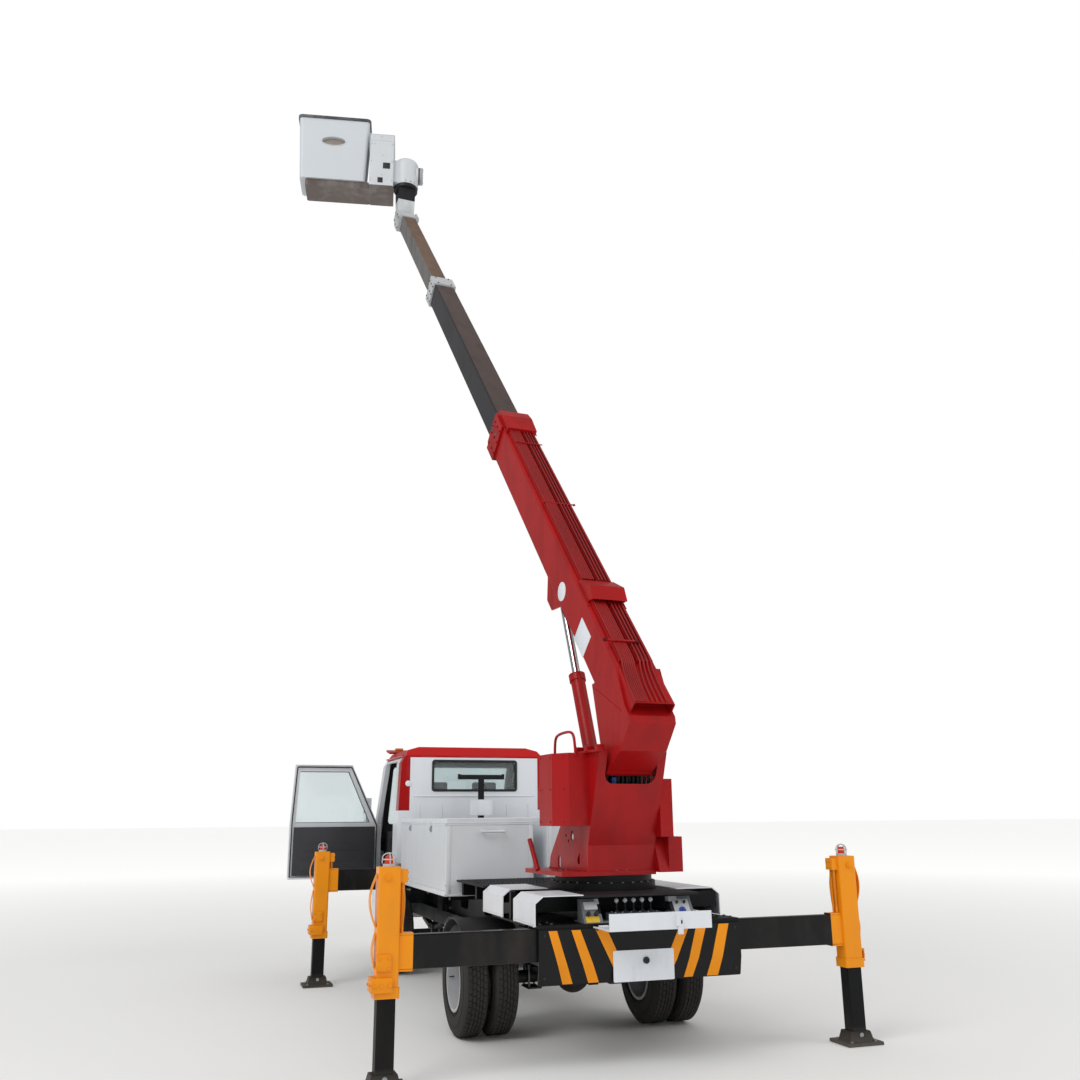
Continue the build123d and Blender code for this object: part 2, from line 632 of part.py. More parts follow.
with BuildPart() as cab_roof:
    add(cab_wall.part)
    split(bisect_by=Plane.XY.offset(ROOF_SPLIT), keep=Keep.TOP)
    # Visor board across the front edge of the roof
    with BuildSketch(side_plane()):
        outline([
            (ahead(5100), ROOF_TOP - 12), (ahead(5330), ROOF_TOP + 28), (ahead(5345), ROOF_TOP + 8),
            (ahead(5330), ROOF_TOP + 6), (ahead(5130), ROOF_TOP - 30),
        ])
    extrude(amount=760, both=True)
save(cab_roof, "cab_roof")

MIRROR_LINE = 5345
MIRROR_X = -CAB_HALF - 125
MIRROR_ARM_Z = 1440
with BuildPart() as door_closed:
    add(cab_wall.part)
    add(side_prism(DOOR_POINTS, 0, -900, -DOOR_INNER), mode=Mode.INTERSECT)
    add(side_prism(PANE_POINTS, 0, -900, -600), mode=Mode.SUBTRACT)
    # Mirror on a bent arm
    with BuildSketch(side_plane(MIRROR_X)):
        with Locations((ahead(MIRROR_LINE), MIRROR_ARM_Z)):
            Circle(11)
    extrude(amount=-CAB_HALF + 20 - MIRROR_X)
    with BuildSketch(Plane.XY.offset(MIRROR_ARM_Z - 11)):
        with Locations((MIRROR_X, ahead(MIRROR_LINE))):
            Circle(11)
    extrude(amount=100)
    with BuildSketch(Plane.XY.offset(MIRROR_ARM_Z + 70)):
        with Locations((MIRROR_X, ahead(MIRROR_LINE))):
            RectangleRounded(150, 60, 20)
    extrude(amount=260)
    # Hinge barrels
    for low in HINGE_LOWS:
        with BuildSketch(Plane.XY.offset(low)):
            with Locations((-HINGE_X, ahead(HINGE_LINE))):
                Circle(HINGE_RADIUS)
            with Locations((-HINGE_X + 6, ahead(HINGE_LINE) - 10)):
                Rectangle(12, 20)
            with Locations((-HINGE_X, ahead(HINGE_LINE))):
                Circle(HINGE_PIN + RUNNING_FIT, mode=Mode.SUBTRACT)
        extrude(amount=HINGE_LENGTH)

# The pane leans with the upper side of the cab, from the belt to the roof
PANE_WALL = 6
PANE_INSET = 18
with BuildPart() as pane_closed:
    with BuildSketch(cross_plane(DOOR_REAR)):
        outline([
            (-CAB_HALF + PANE_INSET, 1480), (-798 + PANE_INSET, 2110),
            (-798 + PANE_INSET + PANE_WALL, 2110), (-CAB_HALF + PANE_INSET + PANE_WALL, 1480),
        ])
    extrude(amount=-(DOOR_HINGE - DOOR_REAR))
    add(side_prism(PANE_POINTS, -AIR, -900, -600), mode=Mode.INTERSECT)

hinge_left = Axis((-HINGE_X, ahead(HINGE_LINE), 0), (0, 0, 1))
for name, piece in (("door", door_closed), ("door_pane", pane_closed)):
    with BuildPart() as left_piece:
        add(piece.part.rotate(hinge_left, -OPEN_ANGLE))
    save(left_piece, f"{name}_left")
    with BuildPart() as right_piece:
        add(mirror(piece.part, about=Plane.YZ, mode=Mode.PRIVATE))
    save(right_piece, f"{name}_right")

# Fixed glass
with BuildPart() as cab_glass:
    with BuildSketch(side_plane()):
        outline([
            (ahead(5240 - 20), 2200), (ahead(5240 - 12), 2200), (ahead(5590 - 12), 1420), (ahead(5590 - 20), 1420),
        ])
    extrude(amount=CAB_HALF, both=True)
    add(window_prism(SCREEN, AIR, 5130, 5900), mode=Mode.INTERSECT)
    add(window_prism(REAR_WINDOW, AIR, CAB_REAR + 14, CAB_REAR + 20))
save(cab_glass, "cab_glass")

# Seats, dashboard and steering wheel
with BuildPart() as cab_interior:
    for low, high in ((-700, -120), (-80, 700)):
        with BuildSketch(side_plane(low)):
            outline([
                (ahead(4300), SILL + 50), (ahead(4270), 1250), (ahead(4240), 1760), (ahead(4330), 1770),
                (ahead(4400), 1300), (ahead(4860), 1320), (ahead(4880), 1230), (ahead(4840), SILL + 50),
            ])
        extrude(amount=high - low)
    fillet(cab_interior.edges().filter_by(Axis.X), 18)
    with BuildSketch(side_plane()):
        outline([
            (ahead(5669.7), 1140), (ahead(5540), 1385), (ahead(5330), 1400), (ahead(5290), 1330), (ahead(5340), 1080),
            (ahead(5480), 900), (ahead(5669.7), 880),
        ])
    extrude(amount=700, both=True)
    with BuildSketch(Plane(origin=(-400, ahead(5330), 1330), x_dir=(1, 0, 0), z_dir=(0, -0.64, 0.77))):
        Circle(22)
    extrude(amount=150)
    with BuildSketch(Plane(origin=(-400, ahead(5330), 1330), x_dir=(1, 0, 0), z_dir=(0, -0.64, 0.77)).offset(140)):
        Circle(200)
        Circle(176, mode=Mode.SUBTRACT)
        Rectangle(360, 30)
    extrude(amount=20)
save(cab_interior, "cab_interior")

# Bumper wraps round the nose
BUMPER_BOTTOM = 430
BUMPER_TOP = NOSE_BOTTOM - AIR
with BuildPart() as bumper:
    with BuildSketch(Plane.XY.offset(BUMPER_BOTTOM)):
        outline([
            (-812, ahead(5130)), (-812, ahead(5740)), (-760, ahead(5800)), (760, ahead(5800)), (812, ahead(5740)),
            (812, ahead(5130)), (775, ahead(5130)), (775, ahead(5720)), (-775, ahead(5720)), (-775, ahead(5130)),
        ])
    extrude(amount=BUMPER_TOP - BUMPER_BOTTOM)
    fillet(bumper.edges().filter_by(Axis.Z), 12)
save(bumper, "bumper")

# Headlamps and grille on the nose
with BuildPart() as headlamps:
    for side in (-1, 1):
        with BuildSketch(cross_plane(CAB_FRONT)):
            with Locations((side * 630, 800)):
                RectangleRounded(260, 150, 40)
        extrude(amount=-26)
save(headlamps, "headlamps")

with BuildPart() as grille:
    with BuildSketch(cross_plane(CAB_FRONT)):
        with Locations((0, 800)):
            RectangleRounded(940, 160, 20)
            RectangleRounded(900, 120, 12, mode=Mode.SUBTRACT)
        with GridLocations(0, 30, 1, 4):
            with Locations((0, 800)):
                Rectangle(920, 10)
    extrude(amount=-22)
save(grille, "grille")

# Wheels. Profiles are x from the wheel's middle outward and radius.
TYRE_RADIUS = 385
BEAD_RADIUS = 205
BEAD_HALF = 80
HUB_RADIUS = 60
STUB_RADIUS = 30
BORE_RADIUS = STUB_RADIUS + RUNNING_FIT
FRONT_TYRE_X = 705
REAR_AXLE = 1240
REAR_INNER_X = 625
REAR_OUTER_X = 850


def tyre_ring(middle_x, distance):
    """One plain tyre turned about the wheel's axis."""
    with BuildSketch(Plane.XY.offset(WHEEL_Z)) as profile:
        with BuildLine() as edge:
            left = ThreePointArc((middle_x - BEAD_HALF, ahead(distance) + BEAD_RADIUS + 17),
                                 (middle_x - 95, ahead(distance) + 285),
                                 (middle_x - 84, ahead(distance) + 360))
            Line(left @ 1, (middle_x - 68, ahead(distance) + TYRE_RADIUS))
            Line((middle_x - 68, ahead(distance) + TYRE_RADIUS), (middle_x + 68, ahead(distance) + TYRE_RADIUS))
            right = ThreePointArc((middle_x + 84, ahead(distance) + 360),
                                  (middle_x + 95, ahead(distance) + 285),
                                  (middle_x + BEAD_HALF, ahead(distance) + BEAD_RADIUS + 17))
            Line((middle_x + 68, ahead(distance) + TYRE_RADIUS), right @ 0)
            Polyline(right @ 1, (middle_x + BEAD_HALF, ahead(distance) + BEAD_RADIUS),
                     (middle_x - BEAD_HALF, ahead(distance) + BEAD_RADIUS), left @ 0)
        make_face(edge.edges())
    revolve(profile.sketch, axis=Axis((0, ahead(distance), WHEEL_Z), (1, 0, 0)))


def turned(distance, shapes):
    """Rings about the wheel axis from outlines of (x, radius)."""
    with BuildSketch(Plane.XY.offset(WHEEL_Z)) as profile:
        for points in shapes:
            outline([(px, ahead(distance) + radius) for px, radius in points])
    revolve(profile.sketch, axis=Axis((0, ahead(distance), WHEEL_Z), (1, 0, 0)))


def barrel(side, middle):
    """Rim barrel with a flange at each end."""
    outer = BEAD_RADIUS - AIR
    inner = outer - 9
    flange = BEAD_HALF + AIR
    return [(side * (middle + px), radius) for px, radius in (
        (-flange - 8, inner), (-flange - 8, outer + 12), (-flange, outer + 12), (-flange, outer),
        (flange, outer), (flange, outer + 12), (flange + 8, outer + 12), (flange + 8, inner),
    )]


for side, hand in ((-1, "left"), (1, "right")):
    with BuildPart() as front_tyre:
        tyre_ring(side * FRONT_TYRE_X, FRONT_AXLE)
    save(front_tyre, f"tyre_front_{hand}")

    with BuildPart() as front_rim:
        hub_x = FRONT_TYRE_X + 30
        turned(FRONT_AXLE, [
            barrel(side, FRONT_TYRE_X),
            [(side * px, radius) for px, radius in (
                (hub_x, HUB_RADIUS - 5), (hub_x, 118), (FRONT_TYRE_X + 52, 197), (FRONT_TYRE_X + 64, 197),
                (hub_x + 12, 114), (hub_x + 12, HUB_RADIUS - 5),
            )],
            [(side * px, radius) for px, radius in (
                (hub_x - 65, BORE_RADIUS), (hub_x - 65, HUB_RADIUS), (hub_x + 58, HUB_RADIUS), (hub_x + 58, 0),
                (hub_x + 44, 0), (hub_x + 44, BORE_RADIUS),
            )],
        ])
        with BuildSketch(side_plane(side * (hub_x - 5))):
            with Locations((ahead(FRONT_AXLE), WHEEL_Z)):
                with PolarLocations(150, 8):
                    SlotOverall(44, 24)
        extrude(amount=side * 60, mode=Mode.SUBTRACT)
    save(front_rim, f"rim_front_{hand}")

    with BuildPart() as rear_tyres:
        tyre_ring(side * REAR_INNER_X, REAR_AXLE)
        tyre_ring(side * REAR_OUTER_X, REAR_AXLE)
    save(rear_tyres, f"tyres_rear_{hand}")

    with BuildPart() as rear_rims:
        disc_x = (REAR_INNER_X + REAR_OUTER_X) / 2
        turned(REAR_AXLE, [
            barrel(side, REAR_INNER_X),
            barrel(side, REAR_OUTER_X),
            [(side * px, radius) for px, radius in (
                (disc_x - 12, HUB_RADIUS - 5), (disc_x - 12, 118), (REAR_INNER_X + 64, 197), (REAR_INNER_X + 76, 197),
                (disc_x, 130), (REAR_OUTER_X - 76, 197), (REAR_OUTER_X - 64, 197), (disc_x + 12, 118),
                (disc_x + 12, HUB_RADIUS - 5),
            )],
            [(side * px, radius) for px, radius in (
                (disc_x - 120, BORE_RADIUS), (disc_x - 120, HUB_RADIUS), (disc_x + 90, HUB_RADIUS),
                (disc_x + 90, 0), (disc_x + 70, 0), (disc_x + 70, BORE_RADIUS),
            )],
        ])
    save(rear_rims, f"rims_rear_{hand}")

# Front axle beam with an eye at each end, and the knuckles that turn in them
KINGPIN_X = 600
KINGPIN_RADIUS = 20
EYE_BOTTOM = 345
EYE_TOP = 425
SPRING_X = 330
with BuildPart() as axles:
    block((-KINGPIN_X + 30, KINGPIN_X - 30), (ahead(FRONT_AXLE) - 28, ahead(FRONT_AXLE) + 28), (355, 415))
    for side in (-1, 1):
        with BuildSketch(Plane.XY.offset(EYE_BOTTOM)):
            with Locations((side * KINGPIN_X, ahead(FRONT_AXLE))):
                Circle(38)
        extrude(amount=EYE_TOP - EYE_BOTTOM)
        with BuildSketch(Plane.XY.offset(EYE_BOTTOM)):
            with Locations((side * KINGPIN_X, ahead(FRONT_AXLE))):
                Circle(KINGPIN_RADIUS + RUNNING_FIT)
        extrude(amount=EYE_TOP - EYE_BOTTOM, mode=Mode.SUBTRACT)

FORK_WALL = 28
for side, hand in ((-1, "left"), (1, "right")):
    with BuildPart() as knuckle:
        with BuildSketch(Plane.XY.offset(EYE_BOTTOM - FORK_WALL)):
            with Locations((side * KINGPIN_X, ahead(FRONT_AXLE))):
                Circle(KINGPIN_RADIUS)
        extrude(amount=EYE_TOP - EYE_BOTTOM + 2 * FORK_WALL)
        for low in (EYE_BOTTOM - FORK_WALL, EYE_TOP + AIR):
            with BuildSketch(Plane.XY.offset(low)):
                with Locations((side * KINGPIN_X, ahead(FRONT_AXLE))):
                    Circle(36)
                with Locations((side * (KINGPIN_X + 30), ahead(FRONT_AXLE))):
                    Rectangle(60, 60)
            extrude(amount=FORK_WALL - AIR)
        web_x = KINGPIN_X + 42
        with BuildSketch(side_plane(side * web_x)):
            with Locations((ahead(FRONT_AXLE), WHEEL_Z)):
                Circle(150)
        extrude(amount=side * 14)
        with BuildSketch(side_plane(side * web_x)):
            with Locations((ahead(FRONT_AXLE), WHEEL_Z)):
                Circle(STUB_RADIUS)
        extrude(amount=side * 135)
    save(knuckle, f"knuckle_{hand}")

# Rear axle with its differential, the leaf springs and the shaft to the gearbox
ENGINE_REAR = 4480
GEARBOX_REAR = 4000
# axle line, half span, seat height
SPRINGS = ((REAR_AXLE, 560, 422), (FRONT_AXLE, 440, 415))
with axles:
    with BuildSketch(side_plane(-610)):
        with Locations((ahead(REAR_AXLE), WHEEL_Z)):
            Circle(45)
    extrude(amount=1220)
    with Locations((0, ahead(REAR_AXLE), WHEEL_Z)):
        Sphere(135)
    with BuildSketch(cross_plane(REAR_AXLE + 100)):
        with Locations((0, WHEEL_Z + 20)):
            Circle(60)
    extrude(amount=-160)
    with BuildSketch(side_plane(-800)):
        with Locations((ahead(REAR_AXLE), WHEEL_Z)):
            Circle(STUB_RADIUS)
    extrude(amount=1600)
    with BuildSketch(cross_plane(REAR_AXLE + 260)):
        with Locations((0, WHEEL_Z + 20)):
            Circle(32)
    with BuildSketch(cross_plane(GEARBOX_REAR - AIR)):
        with Locations((0, 470)):
            Circle(32)
    loft()
    for line, half_span, seat in SPRINGS:
        for side in (-1, 1):
            with BuildSketch(side_plane(side * SPRING_X - 30)):
                outline([(ahead(line + py), pz) for py, pz in (
                    (-half_span, RAIL_BOTTOM), (-half_span, RAIL_BOTTOM - 20), (-180, seat + 8), (-60, seat),
                    (60, seat), (180, seat + 8), (half_span, RAIL_BOTTOM - 20), (half_span, RAIL_BOTTOM),
                    (half_span - 60, RAIL_BOTTOM), (150, seat + 44), (-150, seat + 44), (60 - half_span, RAIL_BOTTOM),
                )])
            extrude(amount=60)
save(axles, "axles")

# Engine and gearbox as one plain block between the rails
with BuildPart() as engine:
    block((-240, 240), (ahead(ENGINE_REAR), ahead(ENGINE_REAR + 560)), (440, 860))
    block((-130, 130), (ahead(GEARBOX_REAR), ahead(ENGINE_REAR)), (440, 700))
    # Bearer that rests in the channels of the rails
    bearer_half = RAIL_X - RAIL_WALL - AIR
    bearer_low = RAIL_BOTTOM + RAIL_WALL + AIR
    block((-bearer_half, bearer_half), (ahead(ENGINE_REAR + 250), ahead(ENGINE_REAR + 310)), (bearer_low, bearer_low + 50))
save(engine, "engine")

with BuildPart() as fuel_tank:
    with BuildSketch(side_plane(RAIL_X + 1)):
        with Locations((ahead(2650), 640)):
            RectangleRounded(620, 320, 50)
    extrude(amount=330)
    for strap in (2450, 2850):
        block((RAIL_X, RAIL_X + 340), (ahead(strap - 20), ahead(strap + 20)), (475, 805))
save(fuel_tank, "fuel_tank")

# Mudguards over the twin wheels, hung from the webs
GUARD_RADIUS = 428
with BuildPart() as mudguards:
    for side in (-1, 1):
        with BuildSketch(side_plane(side * 525)):
            with BuildLine():
                outer = CenterArc((ahead(REAR_AXLE), WHEEL_Z), GUARD_RADIUS + 6, 25, 130)
                inner = CenterArc((ahead(REAR_AXLE), WHEEL_Z), GUARD_RADIUS, 25, 130)
                Line(outer @ 0, inner @ 0)
                Line(outer @ 1, inner @ 1)
            make_face()
        extrude(amount=side * 425)
        block(
            sorted((side * (WEB_X[1] + AIR), side * 620)),
            (ahead(REAR_AXLE) - 15, ahead(REAR_AXLE) + 15),
            (WHEEL_Z + GUARD_RADIUS, WHEEL_Z + GUARD_RADIUS + 24),
        )
save(mudguards, "mudguards")

# Turret and boom stand in a vertical plane turned a little to the left.
SLEW_REST = 3.5
ELEVATION = 48.4
SLEW_RIGHT = Vector(cos(radians(SLEW_REST)), sin(radians(SLEW_REST)), 0)
SLEW_AHEAD = Vector(-sin(radians(SLEW_REST)), cos(radians(SLEW_REST)), 0)
SLEW_CENTRE = Vector(0, ahead(SLEW_LINE), 0)
BOOM_ALONG = SLEW_AHEAD * cos(radians(ELEVATION)) + Vector(0, 0, 1) * sin(radians(ELEVATION))
BOOM_UP = Vector(0, 0, 1) * cos(radians(ELEVATION)) - SLEW_AHEAD * sin(radians(ELEVATION))
# The boom's middle line starts here, as reach ahead of the slew centre and height
BOOM_FOOT = (-800, 2130)


def slewed(reach, height, across=0):
    return SLEW_CENTRE + SLEW_AHEAD * reach + SLEW_RIGHT * across + Vector(0, 0, height)


def turret_side(across=0):
    """Sketch x is reach ahead of the slew centre, sketch y is height."""
    return Plane(origin=slewed(0, 0, across), x_dir=SLEW_AHEAD, z_dir=SLEW_RIGHT)


def turret_plan(height):
    """Sketch x is across, sketch y is reach."""
    return Plane(origin=slewed(0, height), x_dir=SLEW_RIGHT, z_dir=(0, 0, 1))


def turret_cross(reach):
    """Sketch x is across, sketch y is height, and extrude(-length) runs forward."""
    return Plane(origin=slewed(reach, 0), x_dir=SLEW_RIGHT, z_dir=SLEW_AHEAD * -1)


def boom_side(across=0):
    """Sketch x is along the boom, sketch y is square to it."""
    foot = slewed(BOOM_FOOT[0], BOOM_FOOT[1], across)
    return Plane(origin=foot, x_dir=BOOM_ALONG, z_dir=SLEW_RIGHT)


def boom_cross(along):
    """Sketch x is across, sketch y is up from the boom, and extrude(-length) runs outward."""
    foot = slewed(BOOM_FOOT[0], BOOM_FOOT[1]) + BOOM_ALONG * along
    return Plane(origin=foot, x_dir=SLEW_RIGHT, z_dir=BOOM_ALONG * -1)


# Turret
BASE_BOTTOM = RING_TOP + AIR
TURRET_FLOOR = 1180
TURRET_HALF = 262
PLATE = 12
TURRET_TOP = 1984
# Rear panel line, as reach and height
REAR_LINE_POINTS = ((-310, TURRET_FLOOR - 5), (-320, 1352), (-548, TURRET_TOP))
CUTOUT = (200, 1767, 70)
LUFF = (-420, 1900)
LUFF_PIN = 35
LIFT_BASE = (-110, 1320)
LIFT_PIN = 25
# Slots and round holes in the side plates, as reach, height and radius
PLATE_SLOTS = ((192, 1228), (-155, 1262))
PLATE_HOLES = ((-47, 1408, 27), (60, 1416, 11), (20, 1378, 11), (-47, 1440, 13))
with BuildPart() as slew_drive:
    with BuildSketch(turret_plan(BASE_BOTTOM)):
        Circle(350)
    extrude(amount=TURRET_FLOOR - 30 - BASE_BOTTOM)
    # Slew motor and rotary manifold inside the turret
    for across, reach, radius, height in ((170, 120, 70, 330), (-130, 180, 55, 180)):
        with BuildSketch(turret_plan(TURRET_FLOOR)):
            with Locations((across, reach)):
                Circle(radius)
        extrude(amount=height)
save(slew_drive, "slew_drive")

with BuildPart() as turret_frame:
    with BuildSketch(turret_plan(TURRET_FLOOR - 30)):
        outline([
            (-450, -290), (-TURRET_HALF, -325), (TURRET_HALF, -325), (TURRET_HALF + 20, 400), (-450, 400),
        ])
    extrude(amount=30)
    # Side plates
    for side in (-1, 1):
        with BuildSketch(turret_side(side * (TURRET_HALF - PLATE))):
            outline([
                REAR_LINE_POINTS[0], REAR_LINE_POINTS[1], REAR_LINE_POINTS[2],
                (-300, TURRET_TOP + 6), (-60, 1900), (172, 1474), (362, 1264), (380, TURRET_FLOOR - 5),
            ])
            for reach, height in PLATE_SLOTS:
                with Locations((reach, height)):
                    SlotOverall(85, 42, rotation=90, mode=Mode.SUBTRACT)
            for reach, height, radius in PLATE_HOLES:
                with Locations((reach, height)):
                    Circle(radius, mode=Mode.SUBTRACT)
        extrude(amount=side * PLATE)
    # Rear panel with its rounded cut-out
    with BuildSketch(turret_side()):
        outline([
            REAR_LINE_POINTS[0], REAR_LINE_POINTS[1], REAR_LINE_POINTS[2],
            (REAR_LINE_POINTS[2][0] + PLATE, TURRET_TOP),
            (REAR_LINE_POINTS[1][0] + PLATE, 1352), (REAR_LINE_POINTS[0][0] + PLATE, TURRET_FLOOR - 5),
        ])
    extrude(amount=TURRET_HALF - PLATE / 2, both=True)
    cut_half, cut_low, cut_radius = CUTOUT
    with BuildSketch(turret_cross(-600)):
        with Locations((0, (cut_low + TURRET_TOP + 200) / 2)):
            RectangleRounded(2 * cut_half, TURRET_TOP + 200 - cut_low, cut_radius)
    extrude(amount=-200, mode=Mode.SUBTRACT)
    # Bosses for the luffing pin and the cylinder's lower pin
    for (reach, height), radius, thickness in ((LUFF, 80, 40), (LIFT_BASE, 60, 150)):
        for side in (-1, 1):
            with BuildSketch(turret_side(side * TURRET_HALF)):
                with Locations((reach, height)):
                    Circle(radius)
            extrude(amount=-side * thickness)
    for (reach, height), radius in ((LUFF, LUFF_PIN), (LIFT_BASE, LIFT_PIN)):
        with BuildSketch(turret_side()):
            with Locations((reach, height)):
                Circle(radius)
        extrude(amount=TURRET_HALF, both=True)
    # Covers beside the turret
    with BuildSketch(turret_plan(1484)):
        outline([(-TURRET_HALF, -335), (-400, -320), (-470, -180), (-470, 60), (-TURRET_HALF, 60)])
    extrude(amount=500)
    with BuildSketch(turret_plan(1405)):
        with Locations((TURRET_HALF + 50, -340)):
            Rectangle(100, 160)
    extrude(amount=400)
    with BuildSketch(turret_side(TURRET_HALF)):
        outline([(-150, 1165), (-385, 1165), (-290, 1430), (-150, 1430)])
    extrude(amount=84)
    with BuildSketch(turret_plan(1165)):
        outline([(340, -380), (450, -380), (450, -150), (340, -150)])
    extrude(amount=240)
save(turret_frame, "turret_frame")

# Lift cylinder
BASE_HALF_W = 160
BASE_HALF_H = 172.5
BELLY = -BASE_HALF_H
EYE_DROP = 145
EYE_CHEEK = 90
EYE_ALONG = 1850
LIFT_EYE = (
    BOOM_FOOT[0] + EYE_ALONG * cos(radians(ELEVATION)) - (BELLY - EYE_DROP) * sin(radians(ELEVATION)),
    BOOM_FOOT[1] + EYE_ALONG * sin(radians(ELEVATION)) + (BELLY - EYE_DROP) * cos(radians(ELEVATION)),
)
LIFT_DX = LIFT_EYE[0] - LIFT_BASE[0]
LIFT_DZ = LIFT_EYE[1] - LIFT_BASE[1]
LIFT_LENGTH = (LIFT_DX ** 2 + LIFT_DZ ** 2) ** 0.5
LIFT_ALONG = (SLEW_AHEAD * LIFT_DX + Vector(0, 0, LIFT_DZ)) * (1 / LIFT_LENGTH)
BARREL_LENGTH = 1420
BARREL_RADIUS = 57
BARREL_WALL = 12
BARREL_FLOOR = 120
ROD_RADIUS = 32


def lift_cross(along):
    return Plane(origin=slewed(*LIFT_BASE) + LIFT_ALONG * along, x_dir=SLEW_RIGHT, z_dir=LIFT_ALONG)


with BuildPart() as lift_barrel:
    with BuildSketch(turret_side(-70)):
        with Locations(LIFT_BASE):
            Circle(55)
    extrude(amount=140)
    with BuildSketch(lift_cross(40)):
        Circle(BARREL_RADIUS)
    extrude(amount=BARREL_LENGTH - 40)
    with BuildSketch(lift_cross(BARREL_LENGTH - 60)):
        Circle(BARREL_RADIUS + 9)
    extrude(amount=60)
    with BuildSketch(lift_cross(BARREL_FLOOR)):
        Circle(BARREL_RADIUS - BARREL_WALL)
    extrude(amount=BARREL_LENGTH - BARREL_FLOOR - 40, mode=Mode.SUBTRACT)
    with BuildSketch(lift_cross(BARREL_FLOOR)):
        Circle(ROD_RADIUS + AIR)
    extrude(amount=BARREL_LENGTH - BARREL_FLOOR, mode=Mode.SUBTRACT)
    with BuildSketch(turret_side(-70)):
        with Locations(LIFT_BASE):
            Circle(LIFT_PIN + RUNNING_FIT)
    extrude(amount=140, mode=Mode.SUBTRACT)
save(lift_barrel, "lift_barrel")

ROD_INNER = 640
with BuildPart() as lift_rod:
    with BuildSketch(lift_cross(ROD_INNER)):
        Circle(ROD_RADIUS)
    extrude(amount=LIFT_LENGTH - 30 - ROD_INNER)
    with BuildSketch(lift_cross(ROD_INNER)):
        Circle(BARREL_RADIUS - BARREL_WALL - AIR)
    extrude(amount=50)
    with BuildSketch(turret_side(-28)):
        with Locations(LIFT_EYE):
            Circle(42)
    extrude(amount=56)
    # Its pin, held between the cheeks under the boom
    with BuildSketch(turret_side()):
        with Locations(LIFT_EYE):
            Circle(25)
    extrude(amount=EYE_CHEEK - MOVING_GAP, both=True)
save(lift_rod, "lift_rod")

# Boom sections: half width, half height, wall, start and end along the boom
BASE_END = 4290
MID_HALF_W = 127.5
MID_HALF_H = 142.5
MID_START = 3640
MID_END = 8130
TIP_HALF_W = 102.5
TIP_HALF_H = 115
TIP_START = 7530
TIP_END = 11060
BOOM_WALL = 8


def tube(half_w, half_h, start, end, radius):
    with BuildSketch(boom_cross(start)) as section:
        RectangleRounded(2 * half_w, 2 * half_h, radius)
        RectangleRounded(2 * (half_w - BOOM_WALL), 2 * (half_h - BOOM_WALL), radius - BOOM_WALL, mode=Mode.SUBTRACT)
    extrude(section.sketch, amount=start - end)


def mouth(half_w, half_h, inner_w, inner_h, start, end):
    """Collar round a section's mouth that guides the next section."""
    with BuildSketch(boom_cross(start)) as section:
        RectangleRounded(2 * half_w, 2 * half_h, 14)
        RectangleRounded(2 * inner_w, 2 * inner_h, 12, mode=Mode.SUBTRACT)
    extrude(section.sketch, amount=start - end)


